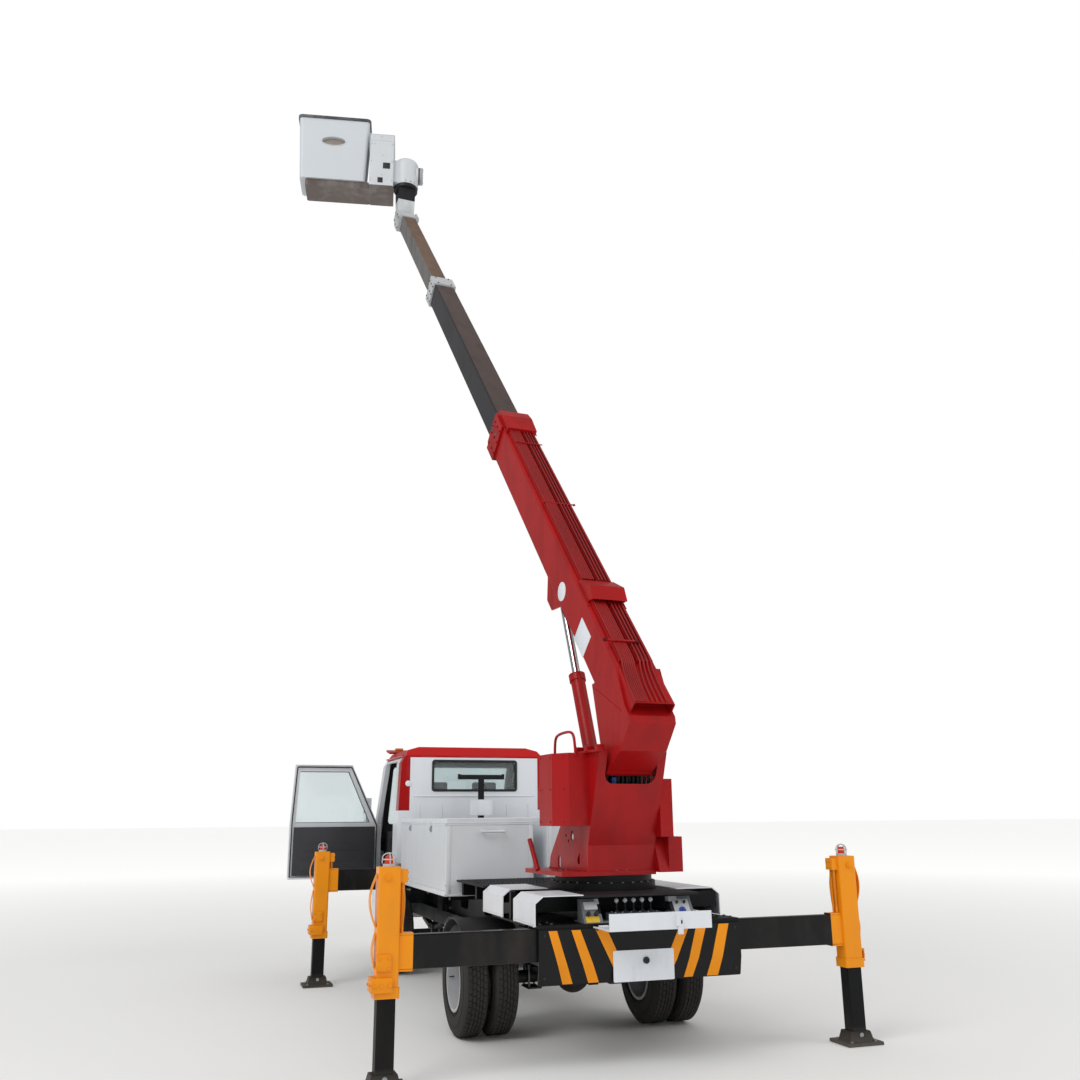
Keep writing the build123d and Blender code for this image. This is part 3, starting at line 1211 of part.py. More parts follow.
CHEEK_HALF = 178
LUG_HALF = 150
luff_offset = slewed(*LUFF) - slewed(*BOOM_FOOT)
LUFF_ALONG = luff_offset.dot(BOOM_ALONG)
LUFF_DOWN = luff_offset.dot(BOOM_UP)
TRAY_STRIPS = ((-130, -25), (5, 130))
TRAY_RUNS = ((470, 1290), (1410, BASE_END - 410))
with BuildPart() as base_boom:
    tube(BASE_HALF_W, BASE_HALF_H, 60, BASE_END, 22)
    mouth(BASE_HALF_W, BASE_HALF_H, MID_HALF_W + AIR, MID_HALF_H + AIR, BASE_END - 60, BASE_END)
    # Tail block, faceted behind, with the lug of the luffing pin under it
    with BuildSketch(boom_side()):
        outline([
            (420, BASE_HALF_H), (122, 82), (32, 78), (-10, 52), (-45, -178),
            (LUFF_ALONG - 78, LUFF_DOWN + 10), (LUFF_ALONG, LUFF_DOWN), (620, BELLY),
        ])
    extrude(amount=CHEEK_HALF, both=True)
    with BuildSketch(boom_side()):
        with Locations((LUFF_ALONG, LUFF_DOWN)):
            Circle(78)
    extrude(amount=CHEEK_HALF, both=True)
    with BuildSketch(boom_side()):
        with Locations((LUFF_ALONG, LUFF_DOWN)):
            Circle(LUFF_PIN + RUNNING_FIT)
    extrude(amount=CHEEK_HALF, both=True, mode=Mode.SUBTRACT)
    # Clear room in the tube for the middle section
    with BuildSketch(boom_cross(150)):
        RectangleRounded(2 * (BASE_HALF_W - BOOM_WALL), 2 * (BASE_HALF_H - BOOM_WALL), 12)
    extrude(amount=-(BASE_END - 60 - 150), mode=Mode.SUBTRACT)
    # Red collar at the mouth with its stepped hood
    with BuildSketch(boom_cross(BASE_END - 330)):
        Rectangle(2 * BASE_HALF_W + 40, 2 * BASE_HALF_H + 36)
        Rectangle(2 * BASE_HALF_W - 1, 2 * BASE_HALF_H - 1, mode=Mode.SUBTRACT)
    extrude(amount=-250)
    with BuildSketch(boom_side()):
        outline([
            (BASE_END - 420, BASE_HALF_H - 1), (BASE_END - 420, BASE_HALF_H + 60), (BASE_END - 200, BASE_HALF_H + 80),
            (BASE_END - 60, BASE_HALF_H + 60), (BASE_END - 60, BASE_HALF_H - 1),
        ])
    extrude(amount=BASE_HALF_W - 10, both=True)
    # Hump over the hose ends
    with BuildSketch(boom_side()):
        outline([
            (1180, BASE_HALF_H - 1), (1120, BASE_HALF_H + 70), (1240, BASE_HALF_H + 110), (1420, BASE_HALF_H + 30),
            (1420, BASE_HALF_H - 1),
        ])
    extrude(amount=BASE_HALF_W - 14, both=True)
    with BuildSketch(boom_side()):
        outline([
            (1100, BASE_HALF_H + 2), (1100, BASE_HALF_H + 58), (1130, BASE_HALF_H + 62), (1240, BASE_HALF_H + 98),
            (1300, BASE_HALF_H + 70), (1300, BASE_HALF_H + 2),
        ])
    extrude(amount=BASE_HALF_W - 30, both=True, mode=Mode.SUBTRACT)
    # Cheeks for the lift rod's eye
    for side in (-1, 1):
        with BuildSketch(boom_side(side * EYE_CHEEK)):
            outline([
                (EYE_ALONG - 260, BELLY + 1), (EYE_ALONG - 70, BELLY - EYE_DROP - 60),
                (EYE_ALONG + 70, BELLY - EYE_DROP - 60), (EYE_ALONG + 260, BELLY + 1),
            ])
        extrude(amount=side * 16)
    # Cable trays in two strips along the top
    for low, high in TRAY_STRIPS:
        for start, end in TRAY_RUNS:
            with BuildSketch(boom_side(low)):
                outline([
                    (start, BASE_HALF_H - 1), (start, BASE_HALF_H + 26), (end, BASE_HALF_H + 26),
                    (end, BASE_HALF_H - 1),
                ])
            extrude(amount=high - low)
save(base_boom, "base_boom")

with BuildPart() as mid_boom:
    tube(MID_HALF_W, MID_HALF_H, MID_START, MID_END, 18)
    # Slide pads at the inner end
    with BuildSketch(boom_cross(MID_START)):
        Rectangle(2 * (BASE_HALF_W - BOOM_WALL - AIR), 2 * (MID_HALF_H - 30))
        Rectangle(2 * (MID_HALF_W - 30), 2 * (BASE_HALF_H - BOOM_WALL - AIR))
        Rectangle(2 * (MID_HALF_W - BOOM_WALL), 2 * (MID_HALF_H - BOOM_WALL), mode=Mode.SUBTRACT)
    extrude(amount=-80)
save(mid_boom, "mid_boom")

with BuildPart() as mid_collar:
    mouth(MID_HALF_W + 20, MID_HALF_H + 22, TIP_HALF_W + AIR, TIP_HALF_H + AIR, MID_END + AIR, MID_END + 60)
    mouth(MID_HALF_W + 20, MID_HALF_H + 22, MID_HALF_W + AIR, MID_HALF_H + AIR, MID_END - 190, MID_END + AIR)
save(mid_collar, "mid_collar")

with BuildPart() as tip_boom:
    tube(TIP_HALF_W, TIP_HALF_H, TIP_START, TIP_END, 16)
    with BuildSketch(boom_cross(TIP_START)):
        Rectangle(2 * (MID_HALF_W - BOOM_WALL - AIR), 2 * (TIP_HALF_H - 25))
        Rectangle(2 * (TIP_HALF_W - 25), 2 * (MID_HALF_H - BOOM_WALL - AIR))
        Rectangle(2 * (TIP_HALF_W - BOOM_WALL), 2 * (TIP_HALF_H - BOOM_WALL), mode=Mode.SUBTRACT)
    extrude(amount=-80)
save(tip_boom, "tip_boom")

# Head bracket on the tip, the levelled knuckle, and the swing ring
LEVEL_ALONG = TIP_END + 150
HEAD_HALF = 150
level_point = slewed(*BOOM_FOOT) + BOOM_ALONG * LEVEL_ALONG
LEVEL_REACH = (level_point - SLEW_CENTRE).dot(SLEW_AHEAD)
LEVEL_HEIGHT = level_point.Z
LEVEL_PIN = 25
with BuildPart() as boom_head:
    mouth(HEAD_HALF - 30, 130, TIP_HALF_W + AIR, TIP_HALF_H + AIR, TIP_END - 160, TIP_END + AIR)
    for side in (-1, 1):
        with BuildSketch(boom_side(side * (HEAD_HALF - 14))):
            outline([
                (TIP_END - 160, -130), (TIP_END - 160, 130), (TIP_END + 60, 130), (LEVEL_ALONG + 60, 60),
                (LEVEL_ALONG + 60, -60), (TIP_END + 60, -130),
            ])
        extrude(amount=side * 14)
        with BuildSketch(boom_side(side * (HEAD_HALF - 32))):
            outline([(TIP_END - 160, -130), (TIP_END - 160, 130), (TIP_END, 130), (TIP_END, -130)])
        extrude(amount=side * 20)
    with BuildSketch(boom_side()):
        with Locations((LEVEL_ALONG, 0)):
            Circle(LEVEL_PIN)
    extrude(amount=HEAD_HALF, both=True)
save(boom_head, "boom_head")

SWING_RADIUS = 184
SWING_BOTTOM = LEVEL_HEIGHT + 470
SWING_REACH = LEVEL_REACH
# The knuckle's top stays inside the swing disc at its corners, so that the side box can pass.
KNUCKLE_TOP = (-120, 125)
with BuildPart() as level_knuckle:
    with BuildSketch(turret_side()):
        with Locations((LEVEL_REACH, LEVEL_HEIGHT)):
            Circle(60)
    extrude(amount=HEAD_HALF - 22, both=True)
    with BuildSketch(turret_side()):
        outline([
            (LEVEL_REACH - 58, LEVEL_HEIGHT),
            (LEVEL_REACH + KNUCKLE_TOP[0], SWING_BOTTOM),
            (LEVEL_REACH + KNUCKLE_TOP[1], SWING_BOTTOM),
            (LEVEL_REACH + 58, LEVEL_HEIGHT),
        ])
    extrude(amount=HEAD_HALF - 22, both=True)
    with BuildSketch(turret_side()):
        with Locations((LEVEL_REACH, LEVEL_HEIGHT)):
            Circle(LEVEL_PIN + RUNNING_FIT)
    extrude(amount=HEAD_HALF, both=True, mode=Mode.SUBTRACT)
    with BuildSketch(turret_plan(SWING_BOTTOM)):
        with Locations((0, SWING_REACH)):
            Circle(SWING_RADIUS)
    extrude(amount=50)
save(level_knuckle, "level_knuckle")

# Swing housing, side box and bucket. They stand square to a frame turned clockwise by SWING_REST.
SWING_REST = 7.5
DOME_RADIUS = 190
DOME_BOTTOM = SWING_BOTTOM + 50 + AIR
swing_axis = slewed(SWING_REACH, 0)
BUCKET_TURN = radians(SLEW_REST - SWING_REST - 7)
BUCKET_RIGHT = Vector(cos(BUCKET_TURN), sin(BUCKET_TURN), 0)
BUCKET_AHEAD = Vector(-sin(BUCKET_TURN), cos(BUCKET_TURN), 0)


def bucket_plan(height):
    """Sketch x is along the bucket, to the right, and sketch y is ahead."""
    return Plane(origin=swing_axis + Vector(0, 0, height), x_dir=BUCKET_RIGHT, z_dir=(0, 0, 1))


BOX_X = (-560, -190)
BOX_DEPTH = 560
BOX_BOTTOM = LEVEL_HEIGHT + 417
BOX_HEIGHT = 900
BUCKET_LENGTH = 1080
BUCKET_BOTTOM = BOX_BOTTOM + 100
BUCKET_HEIGHT = 1070
BUCKET_DEPTH = 600
BUCKET_TAPER = 90
RIM_GROWTH = 18
BUCKET_WALL = 10
CARRIER_LENGTH = 970
BUCKET_MIDDLE = (BOX_X[0] - AIR - RIM_GROWTH - BUCKET_LENGTH / 2, 110)
POCKET_SIZE = (360, 140)
POCKET_HEIGHT = 650
POCKET_DEPTH = 45
POCKET_WALL = 6
POCKET_FACE = BUCKET_MIDDLE[1] - (BUCKET_DEPTH - BUCKET_TAPER * (1 - POCKET_HEIGHT / BUCKET_HEIGHT)) / 2


def bucket_rear(distance):
    """Upright plane behind the bucket at a distance ahead of the swing axis. extrude(length) runs forward."""
    spot = bucket_plan(BUCKET_BOTTOM + POCKET_HEIGHT).from_local_coords(Vector(BUCKET_MIDDLE[0], distance, 0))
    return Plane(origin=spot, x_dir=BUCKET_RIGHT, z_dir=BUCKET_AHEAD)


with BuildPart() as bucket_carrier:
    # Round housing over the swing ring, with the valve drum on its right
    with BuildSketch(bucket_plan(DOME_BOTTOM)):
        Circle(DOME_RADIUS)
    extrude(amount=470)
    fillet(bucket_carrier.faces().sort_by(Axis.Z)[-1].edges(), 90)
    with BuildSketch(bucket_plan(DOME_BOTTOM + 20)):
        with Locations((BOX_X[1] / 2 - 40, 0)):
            Rectangle(-BOX_X[1] - 60, 300)
    extrude(amount=380)
    drum = Plane(
        origin=swing_axis + Vector(0, 0, DOME_BOTTOM + 240) + BUCKET_RIGHT * 150,
        x_dir=(0, 0, 1), z_dir=BUCKET_RIGHT)
    with BuildSketch(drum):
        Circle(130)
    extrude(amount=110)
    # Side box
    with BuildSketch(bucket_plan(BOX_BOTTOM)):
        with Locations(((BOX_X[0] + BOX_X[1]) / 2, 60)):
            RectangleRounded(BOX_X[1] - BOX_X[0], BOX_DEPTH, 20)
    extrude(amount=BOX_HEIGHT)
    # Frame under the bucket floor
    with BuildSketch(bucket_plan(BOX_BOTTOM)):
        with Locations((BOX_X[0] + 1 - CARRIER_LENGTH / 2, BUCKET_MIDDLE[1])):
            RectangleRounded(CARRIER_LENGTH, BUCKET_DEPTH - BUCKET_TAPER - 60, 30)
    extrude(amount=BUCKET_BOTTOM - BOX_BOTTOM - AIR)
save(bucket_carrier, "bucket_carrier")

with BuildPart() as bucket:
    for inset, low, mode in ((0, 0, Mode.ADD), (BUCKET_WALL, BUCKET_WALL, Mode.SUBTRACT)):
        with BuildSketch(bucket_plan(BUCKET_BOTTOM + low)):
            with Locations(BUCKET_MIDDLE):
                RectangleRounded(
                    BUCKET_LENGTH - BUCKET_TAPER - 2 * inset, BUCKET_DEPTH - BUCKET_TAPER - 2 * inset, 50 - inset)
        with BuildSketch(bucket_plan(BUCKET_BOTTOM + BUCKET_HEIGHT)):
            with Locations(BUCKET_MIDDLE):
                RectangleRounded(BUCKET_LENGTH - 2 * inset, BUCKET_DEPTH - 2 * inset, 50 - inset)
        loft(mode=mode)
    with BuildSketch(bucket_plan(BUCKET_BOTTOM + BUCKET_HEIGHT - 40)):
        with Locations(BUCKET_MIDDLE):
            RectangleRounded(BUCKET_LENGTH + 2 * RIM_GROWTH, BUCKET_DEPTH + 2 * RIM_GROWTH, 66)
            RectangleRounded(BUCKET_LENGTH - 20, BUCKET_DEPTH - 20, 42, mode=Mode.SUBTRACT)
    extrude(amount=40)
    # Step pocket pressed into the rear wall
    with BuildSketch(bucket_rear(POCKET_FACE + BUCKET_WALL / 2)):
        Ellipse(POCKET_SIZE[0] / 2 + POCKET_WALL, POCKET_SIZE[1] / 2 + POCKET_WALL)
    extrude(amount=POCKET_DEPTH)
    with BuildSketch(bucket_rear(POCKET_FACE - BUCKET_WALL)):
        Ellipse(POCKET_SIZE[0] / 2, POCKET_SIZE[1] / 2)
    extrude(amount=POCKET_DEPTH + BUCKET_WALL, mode=Mode.SUBTRACT)
save(bucket, "bucket")
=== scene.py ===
import itertools
import json
import math

import bmesh
import bpy
from mathutils import Matrix, Vector

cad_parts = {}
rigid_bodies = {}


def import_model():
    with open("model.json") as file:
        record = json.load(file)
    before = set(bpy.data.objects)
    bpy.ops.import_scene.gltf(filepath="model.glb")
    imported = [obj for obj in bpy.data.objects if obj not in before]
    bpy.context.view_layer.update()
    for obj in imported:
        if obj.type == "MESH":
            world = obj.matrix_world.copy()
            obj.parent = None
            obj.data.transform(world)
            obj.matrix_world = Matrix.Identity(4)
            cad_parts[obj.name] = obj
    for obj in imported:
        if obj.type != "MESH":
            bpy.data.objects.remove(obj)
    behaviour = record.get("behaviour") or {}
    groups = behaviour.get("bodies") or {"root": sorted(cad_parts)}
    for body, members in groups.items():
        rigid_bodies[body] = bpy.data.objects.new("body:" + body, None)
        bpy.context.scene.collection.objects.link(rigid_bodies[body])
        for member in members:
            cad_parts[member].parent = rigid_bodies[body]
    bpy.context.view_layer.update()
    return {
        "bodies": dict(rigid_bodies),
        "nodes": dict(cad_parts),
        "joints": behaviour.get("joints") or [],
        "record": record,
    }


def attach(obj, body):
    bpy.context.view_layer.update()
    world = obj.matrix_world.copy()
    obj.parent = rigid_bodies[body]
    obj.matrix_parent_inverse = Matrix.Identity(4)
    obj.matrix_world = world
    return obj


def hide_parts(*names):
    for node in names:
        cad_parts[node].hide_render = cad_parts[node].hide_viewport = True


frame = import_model()
nodes = frame["nodes"]

# Places are given as the CAD source gives them: x from the truck's middle, distance ahead of the rear
# outrigger line, and height, in metres. TRUCK turns them into the shared frame.
TRUCK = Matrix.Translation((0.13, -3.745, 0))
HANDS = ((-1, "left"), (1, "right"))
# The same for one side at a time, with x outward from the truck's middle
OUTWARD = {hand: TRUCK @ Matrix.Diagonal((side, 1, 1, 1)) for side, hand in HANDS}
# The turret's frame is x across, y reach ahead of the slew centre, z height. The boom's frame is x across,
# y along its middle line, z square to it. The basket's frame is x along the bucket and y ahead of the swing
# axis.
SLEW_AHEAD = 0.56
SLEW_REST = math.radians(3.5)
ELEVATION = math.radians(48.4)
BASKET_TURN = math.radians(-14.5)
# reach and height of the boom's foot, and how far along the boom the knuckle's pin lies
FOOT_REACH, FOOT_HEIGHT = -0.8, 2.13
KNUCKLE_ALONG = 11.21
LEVEL_REACH = FOOT_REACH + KNUCKLE_ALONG * math.cos(ELEVATION)
LEVEL_HEIGHT = FOOT_HEIGHT + KNUCKLE_ALONG * math.sin(ELEVATION)
TURRET = TRUCK @ Matrix.Translation((0, SLEW_AHEAD, 0)) @ Matrix.Rotation(SLEW_REST, 4, "Z")
BOOM = TURRET @ Matrix.Translation((0, FOOT_REACH, FOOT_HEIGHT)) @ Matrix.Rotation(ELEVATION, 4, "X")
HEAD = TURRET @ Matrix.Translation((0, LEVEL_REACH, 0))
BASKET = HEAD @ Matrix.Rotation(BASKET_TURN, 4, "Z")
# The lift cylinder's frame stands on its lower pin, with z along the cylinder to the eye under the boom.
LIFT_PIN = (-0.11, 1.32)
EYE_ALONG, EYE_DROP = 1.85, 0.3175
LIFT_REACH = FOOT_REACH + EYE_ALONG * math.cos(ELEVATION) + EYE_DROP * math.sin(ELEVATION) - LIFT_PIN[0]
LIFT_RISE = FOOT_HEIGHT + EYE_ALONG * math.sin(ELEVATION) - EYE_DROP * math.cos(ELEVATION) - LIFT_PIN[1]
LIFT_LEAN = math.atan2(LIFT_REACH, LIFT_RISE)
LIFT = TURRET @ Matrix.Translation((0, *LIFT_PIN)) @ Matrix.Rotation(-LIFT_LEAN, 4, "X")

# Camera at the photograph's viewpoint
CAMERA_PLACE = (-2.898, -6.68, 1.551)
SENSOR_WIDTH = 36
FOCAL_SHARE = 1019 / 1080
PITCH, YAW, ROLL = (math.radians(angle) for angle in (15.174, 18.588, -0.452))
heading = Vector((math.sin(YAW), math.cos(YAW), 0))
across = Vector((math.cos(YAW), -math.sin(YAW), 0))
view_line = heading * math.cos(PITCH) + Vector((0, 0, math.sin(PITCH)))
down_line = heading * math.sin(PITCH) - Vector((0, 0, math.cos(PITCH)))
camera_right = across * math.cos(ROLL) - down_line * math.sin(ROLL)
camera_up = -(across * math.sin(ROLL) + down_line * math.cos(ROLL))
camera = bpy.data.objects.new("camera", bpy.data.cameras.new("camera"))
bpy.context.scene.collection.objects.link(camera)
camera.data.sensor_width = SENSOR_WIDTH
camera.data.lens = SENSOR_WIDTH * FOCAL_SHARE
camera.data.clip_end = 500
facing = Matrix((camera_right, camera_up, -view_line)).transposed().to_4x4()
camera.matrix_world = Matrix.Translation(TRUCK @ Vector(CAMERA_PLACE)) @ facing
bpy.context.scene.camera = camera
bpy.context.scene.view_settings.view_transform = "Standard"


# Materials

def linear(hex_colour):
    """sRGB hex to linear red, green, blue, alpha."""
    parts = [int(hex_colour[i:i + 2], 16) / 255 for i in (1, 3, 5)]
    return (*[p / 12.92 if p <= 0.04045 else ((p + 0.055) / 1.055) ** 2.4 for p in parts], 1)


def add_node(tree, kind, settings=(), links=()):
    """A shader node with its settings {name or socket: value} and links {socket: output}."""
    node = tree.nodes.new("ShaderNode" + kind)
    for key, value in dict(settings).items():
        if isinstance(key, str) and hasattr(node, key):
            setattr(node, key, value)
        else:
            node.inputs[key].default_value = value
    for key, output in dict(links).items():
        tree.links.new(output, node.inputs[key])
    return node


def new_material(name, inputs):
    """A material with its shader's inputs set, its node tree, its shader and the object's coordinates."""
    material = bpy.data.materials.new(name)
    material.use_nodes = True
    tree = material.node_tree
    shader = tree.nodes["Principled BSDF"]
    for socket, value in inputs.items():
        shader.inputs[socket].default_value = value
    return material, tree, shader, add_node(tree, "TexCoord").outputs["Object"]


def noise(tree, where, scale, detail, roughness=0.5):
    settings = {"Scale": scale, "Detail": detail, "Roughness": roughness}
    return add_node(tree, "TexNoise", settings, {"Vector": where}).outputs["Fac"]


def ranged(tree, value, low, high, start=0.0, stop=1.0):
    """A value between start and stop, brought to low and high."""
    settings = {"From Min": start, "From Max": stop, "To Min": low, "To Max": high}
    return add_node(tree, "MapRange", settings, {"Value": value}).outputs[0]


def combine(tree, operation, first, second):
    return add_node(tree, "Math", {"operation": operation}, {0: first, 1: second}).outputs[0]


def blend(tree, share, first, second):
    """Two colours mixed. The first is a hex colour or an output, the second a hex colour."""
    mix = add_node(tree, "Mix", {"data_type": "RGBA", 7: linear(second)}, {0: share})
    if isinstance(first, str):
        mix.inputs[6].default_value = linear(first)
    else:
        tree.links.new(first, mix.inputs[6])
    return mix.outputs[2]


def relief(tree, shader, height, strength, distance):
    bump = add_node(tree, "Bump", {"Strength": strength, "Distance": distance}, {"Height": height})
    tree.links.new(bump.outputs[0], shader.inputs["Normal"])


def in_box(tree, where, frame, low, high):
    """1 between two corners given in a frame, else 0."""
    back = frame.inverted()
    turned = {"Location": back.translation, "Rotation": back.to_euler()}
    local = add_node(tree, "Mapping", turned, {"Vector": where}).outputs[0]
    low, high = Vector(low), Vector(high)
    vector = "VectorMath"
    offset = add_node(tree, vector, {"operation": "SUBTRACT", 1: (low + high) / 2}, {0: local}).outputs[0]
    spread = add_node(tree, vector, {"operation": "ABSOLUTE"}, {0: offset}).outputs[0]
    beyond = add_node(tree, vector, {"operation": "SUBTRACT", 1: (high - low) / 2}, {0: spread}).outputs[0]
    parts = add_node(tree, "SeparateXYZ", (), {0: beyond}).outputs
    most = combine(tree, "MAXIMUM", combine(tree, "MAXIMUM", parts[0], parts[1]), parts[2])
    return add_node(tree, "Math", {"operation": "LESS_THAN", 1: 0.0}, {0: most}).outputs[0]


def painted(name, colour, shade, rough, grime=0.25, coat=0.0, ripple=0.02, areas=(), dust=0.0):
    """Sprayed enamel on sheet steel: an even gloss, tone that drifts over half a metre, dirt that settles in
    patches and faint runs, fine orange peel. areas are (frame, low corner, high corner, colour), painted over
    it in turn, and dust is the height up to which road dust lies on it."""
    material, tree, shader, where = new_material(name, {
        "Specular IOR Level": 0.2, "Coat Weight": coat, "Coat Roughness": 0.12, "IOR": 1.5})
    patches = noise(tree, where, 2.2, 6.0, 0.62)
    stretched = add_node(tree, "Mapping", {"Scale": (2.6, 2.6, 0.6)}, {"Vector": where}).outputs[0]
    both = combine(tree, "MULTIPLY", patches, noise(tree, stretched, 3.0, 5.0))
    amount = ranged(tree, both, 0.0, grime, 0.2, 0.42)
    tone = colour
    for frame, low, high, paint in areas:
        tone = blend(tree, in_box(tree, where, frame, low, high), tone, paint)
    tone = blend(tree, amount, tone, shade)
    if dust:
        height = add_node(tree, "SeparateXYZ", (), {0: where}).outputs[2]
        fall = ranged(tree, height, 0.6, 0.0, 0.0, dust)
        tone = blend(tree, combine(tree, "MULTIPLY", fall, patches), tone, ROAD_DUST)
    tree.links.new(tone, shader.inputs["Base Color"])
    tree.links.new(ranged(tree, amount, rough, min(1, rough + 0.3)), shader.inputs["Roughness"])
    # Orange peel, drawn at about 8 mm so that it shows
    relief(tree, shader, noise(tree, where, 120.0, 2.0), ripple, 0.01)
    return material


def metal(name, colour, rough, grain):
    """Bare metal, turned, drawn or plated: fine streaks spread the gloss."""
    material, tree, shader, where = new_material(name, {"Base Color": linear(colour), "Metallic": 1})
    gloss = ranged(tree, noise(tree, where, grain, 4.0), rough * 0.7, min(1, rough * 1.5))
    tree.links.new(gloss, shader.inputs["Roughness"])
    return material


def moulded(name, colour, worn, rough, grain, depth):
    """Moulded plastic, rubber or cloth: a fine grained skin, faded in patches."""
    material, tree, shader, where = new_material(name, {"Roughness": rough})
    tree.links.new(blend(tree, noise(tree, where, 3.0, 5.0), colour, worn), shader.inputs["Base Color"])
    relief(tree, shader, noise(tree, where, grain, 3.0), depth, 0.004)
    return material


def clear(name, colour, rough, share):
    """Clear sheet: tempered glass or a lamp cover, see-through with a faint tint and a film of dust."""
    material, tree, shader, where = new_material(name, {
        "Base Color": linear(colour), "IOR": 1.5, "Transmission Weight": share})
    film = ranged(tree, noise(tree, where, 5.0, 6.0), rough, rough + 0.08)
    tree.links.new(film, shader.inputs["Roughness"])
    return material


RED, DEEP_RED, ORANGE, BLACK, WHITE = "#a30d0f", "#5f0f12", "#ee9209", "#0c0d0f", "#dfe3e8"
# Painted shade: a brown-grey for the shaded underside of the bucket's carrier, and a dark grey for shade in
# recesses. Then a lamp's rim and lens.
UNDERSIDE_SHADE, RECESS_SHADE, LAMP_RIM, LAMP_RED = "#5a4f4a", "#2f3134", "#b9bcbf", "#d6431f"
COLUMN_GRIME, ROAD_DUST = "#5d5148", "#8f857a"
EVERYWHERE = 99

# Body enamel: alkyd paint sprayed on pressed sheet steel, fresh over the cab and the lockers
white_enamel = painted("white_enamel", WHITE, "#bcbdbb", 0.3, 0.16, 0.15)
locker_enamel = painted("locker_enamel", "#d9dde1", "#b2b4b5", 0.34, 0.18, 0.12)
cab_enamel = painted("cab_enamel", WHITE, "#bdbebc", 0.28, 0.14, 0.2, areas=(
    (TRUCK, (-1, 4.0, 1.62), (-0.705, 4.33, 3), RED),
    (TRUCK, (0.705, 4.0, 1.62), (1, 4.33, 3), RED),
    (TRUCK, (-1, 3.9, 2.165), (1, 6, 3), RED),
    (TRUCK, (-0.75, 4.232, 0.6), (0.75, 5.66, 2.24), "#2b2c2f"),
))
door_enamel = painted("door_enamel", WHITE, "#bdbebc", 0.28, 0.14, 0.2)
roof_enamel = painted("roof_enamel", "#bb1413", "#8a191a", 0.3, 0.2, 0.15)
# Boom and turret enamel: red machinery enamel brushed and rolled on welded plate, matt where it has been
# handled
red_enamel = painted("red_enamel", RED, DEEP_RED, 0.36, 0.4, 0.12)
turret_enamel = painted("turret_enamel", "#a50c0f", DEEP_RED, 0.34, 0.35, 0.12)
# Dark red: painted shade in the grooves between the boom's hose strands, and the dark red knobs of the cross
# rod
groove_shade_and_knob_red = painted("groove_shade_and_knob_red", "#5e0d10", "#32090b", 0.5, 0.4)


def arm_paint(name, near, far, beam_end, beam_low, beam_high, lamp_foot):
    """Orange columns, black beams up to beam_end outward, and a rimmed lamp on top."""
    lamp_rim = lamp_foot + 0.017
    return painted(name, ORANGE, COLUMN_GRIME, 0.34, 0.16, 0.12, areas=(
        (TRUCK, (-beam_end, near, beam_low), (beam_end, far, beam_high), BLACK),
        (TRUCK, (-2, near, lamp_foot), (2, far, lamp_rim), LAMP_RIM),
        (TRUCK, (-2, near, lamp_rim), (2, far, 1.4), LAMP_RED),
    ), dust=0.4)


# Outrigger enamel: orange safety enamel over primer on welded box section, with the beams in black
rear_arm_enamel = arm_paint("rear_arm_enamel", -1, 1, 1.522, 0.6, 0.92, 1.256)
front_arm_enamel = arm_paint("front_arm_enamel", 3, 5, 1.442, 0.8, 1.13, 1.231)
orange_enamel = painted("orange_enamel", ORANGE, "#b9741c", 0.34, 0.2, 0.12)
# Chassis enamel: black chassis paint over welded steel, dusty low down
black_enamel = painted("black_enamel", "#101113", "#292623", 0.42, 0.3, dust=0.5)
leg_enamel = painted("leg_enamel", "#0e0f10", "#2b2724", 0.45, 0.4, dust=0.12)
panel_enamel = painted("panel_enamel", "#0d0e10", "#242220", 0.36, 0.3, 0.12, areas=(
    (TRUCK, (-0.3, -0.2, 0.4), (0.3, -0.1185, 0.72), WHITE),
    # dark grey within the blank plate: painted shade of its recess
    (TRUCK, (-0.3, -0.2, 0.4), (0.3, -0.1255, 0.72), RECESS_SHADE),
))
# Sliding boom sections: primer and old paint rubbed by the pads, greasy on top
charcoal_enamel = painted("charcoal_enamel", "#2a2a2e", "#3b3735", 0.34, 0.4, 0.12, areas=(
    (BOOM, (-1, -EVERYWHERE, 0.1415), (1, EVERYWHERE, 1), "#4f403c"),
))
bronze_enamel = painted("bronze_enamel", "#696767", "#574d46", 0.38, 0.6, 0.12, areas=(
    (BOOM, (-1, -EVERYWHERE, 0.114), (1, EVERYWHERE, 1), "#6f5544"),
))
# Grey enamel: light machinery grey, sprayed on castings and folded steel
grey_enamel = painted("grey_enamel", "#b9bcbe", "#8c8d8c", 0.38, 0.3, 0.1)
KNUCKLE_TOP = LEVEL_HEIGHT + 0.27
knuckle_enamel = painted("knuckle_enamel", "#212225", "#3a3836", 0.42, 0.3, 0.1, areas=(
    (TURRET, (-1, LEVEL_REACH - 1, LEVEL_HEIGHT - 1), (1, LEVEL_REACH + 1, KNUCKLE_TOP), "#c3c6c8"),
))
console_enamel = painted("console_enamel", "#74797d", "#4c4d4e", 0.4, 0.4, 0.1, areas=(
    (TRUCK, (-0.3, -0.2, 0.93), (0.3, 0.2, 0.989), "#1d1e20"),
    (TRUCK, (-0.3, -0.2, 0.989), (0.3, 0.2, 1.1), "#c9ccd0"),
    # dark grey below the black band: painted shade in a recess
    (TRUCK, (-0.2, -0.2, 0.882), (0.19, 0.2, 0.93), RECESS_SHADE),
))
rest_enamel = painted("rest_enamel", "#1b1c1e", "#35322f", 0.42, 0.3, areas=(
    (TRUCK, (-0.125, 3.8, 1.565), (0.125, 4.3, 1.725), WHITE),
))
silver_enamel = painted("silver_enamel", "#b4b6b9", "#6f6d6a", 0.33, 0.4, 0.1, dust=0.5)
# Deck: black anti-slip enamel on tread plate, trodden dull
deck_enamel = painted("deck_enamel", "#242528", "#45413d", 0.55, 0.4, 0.0, 0.06)
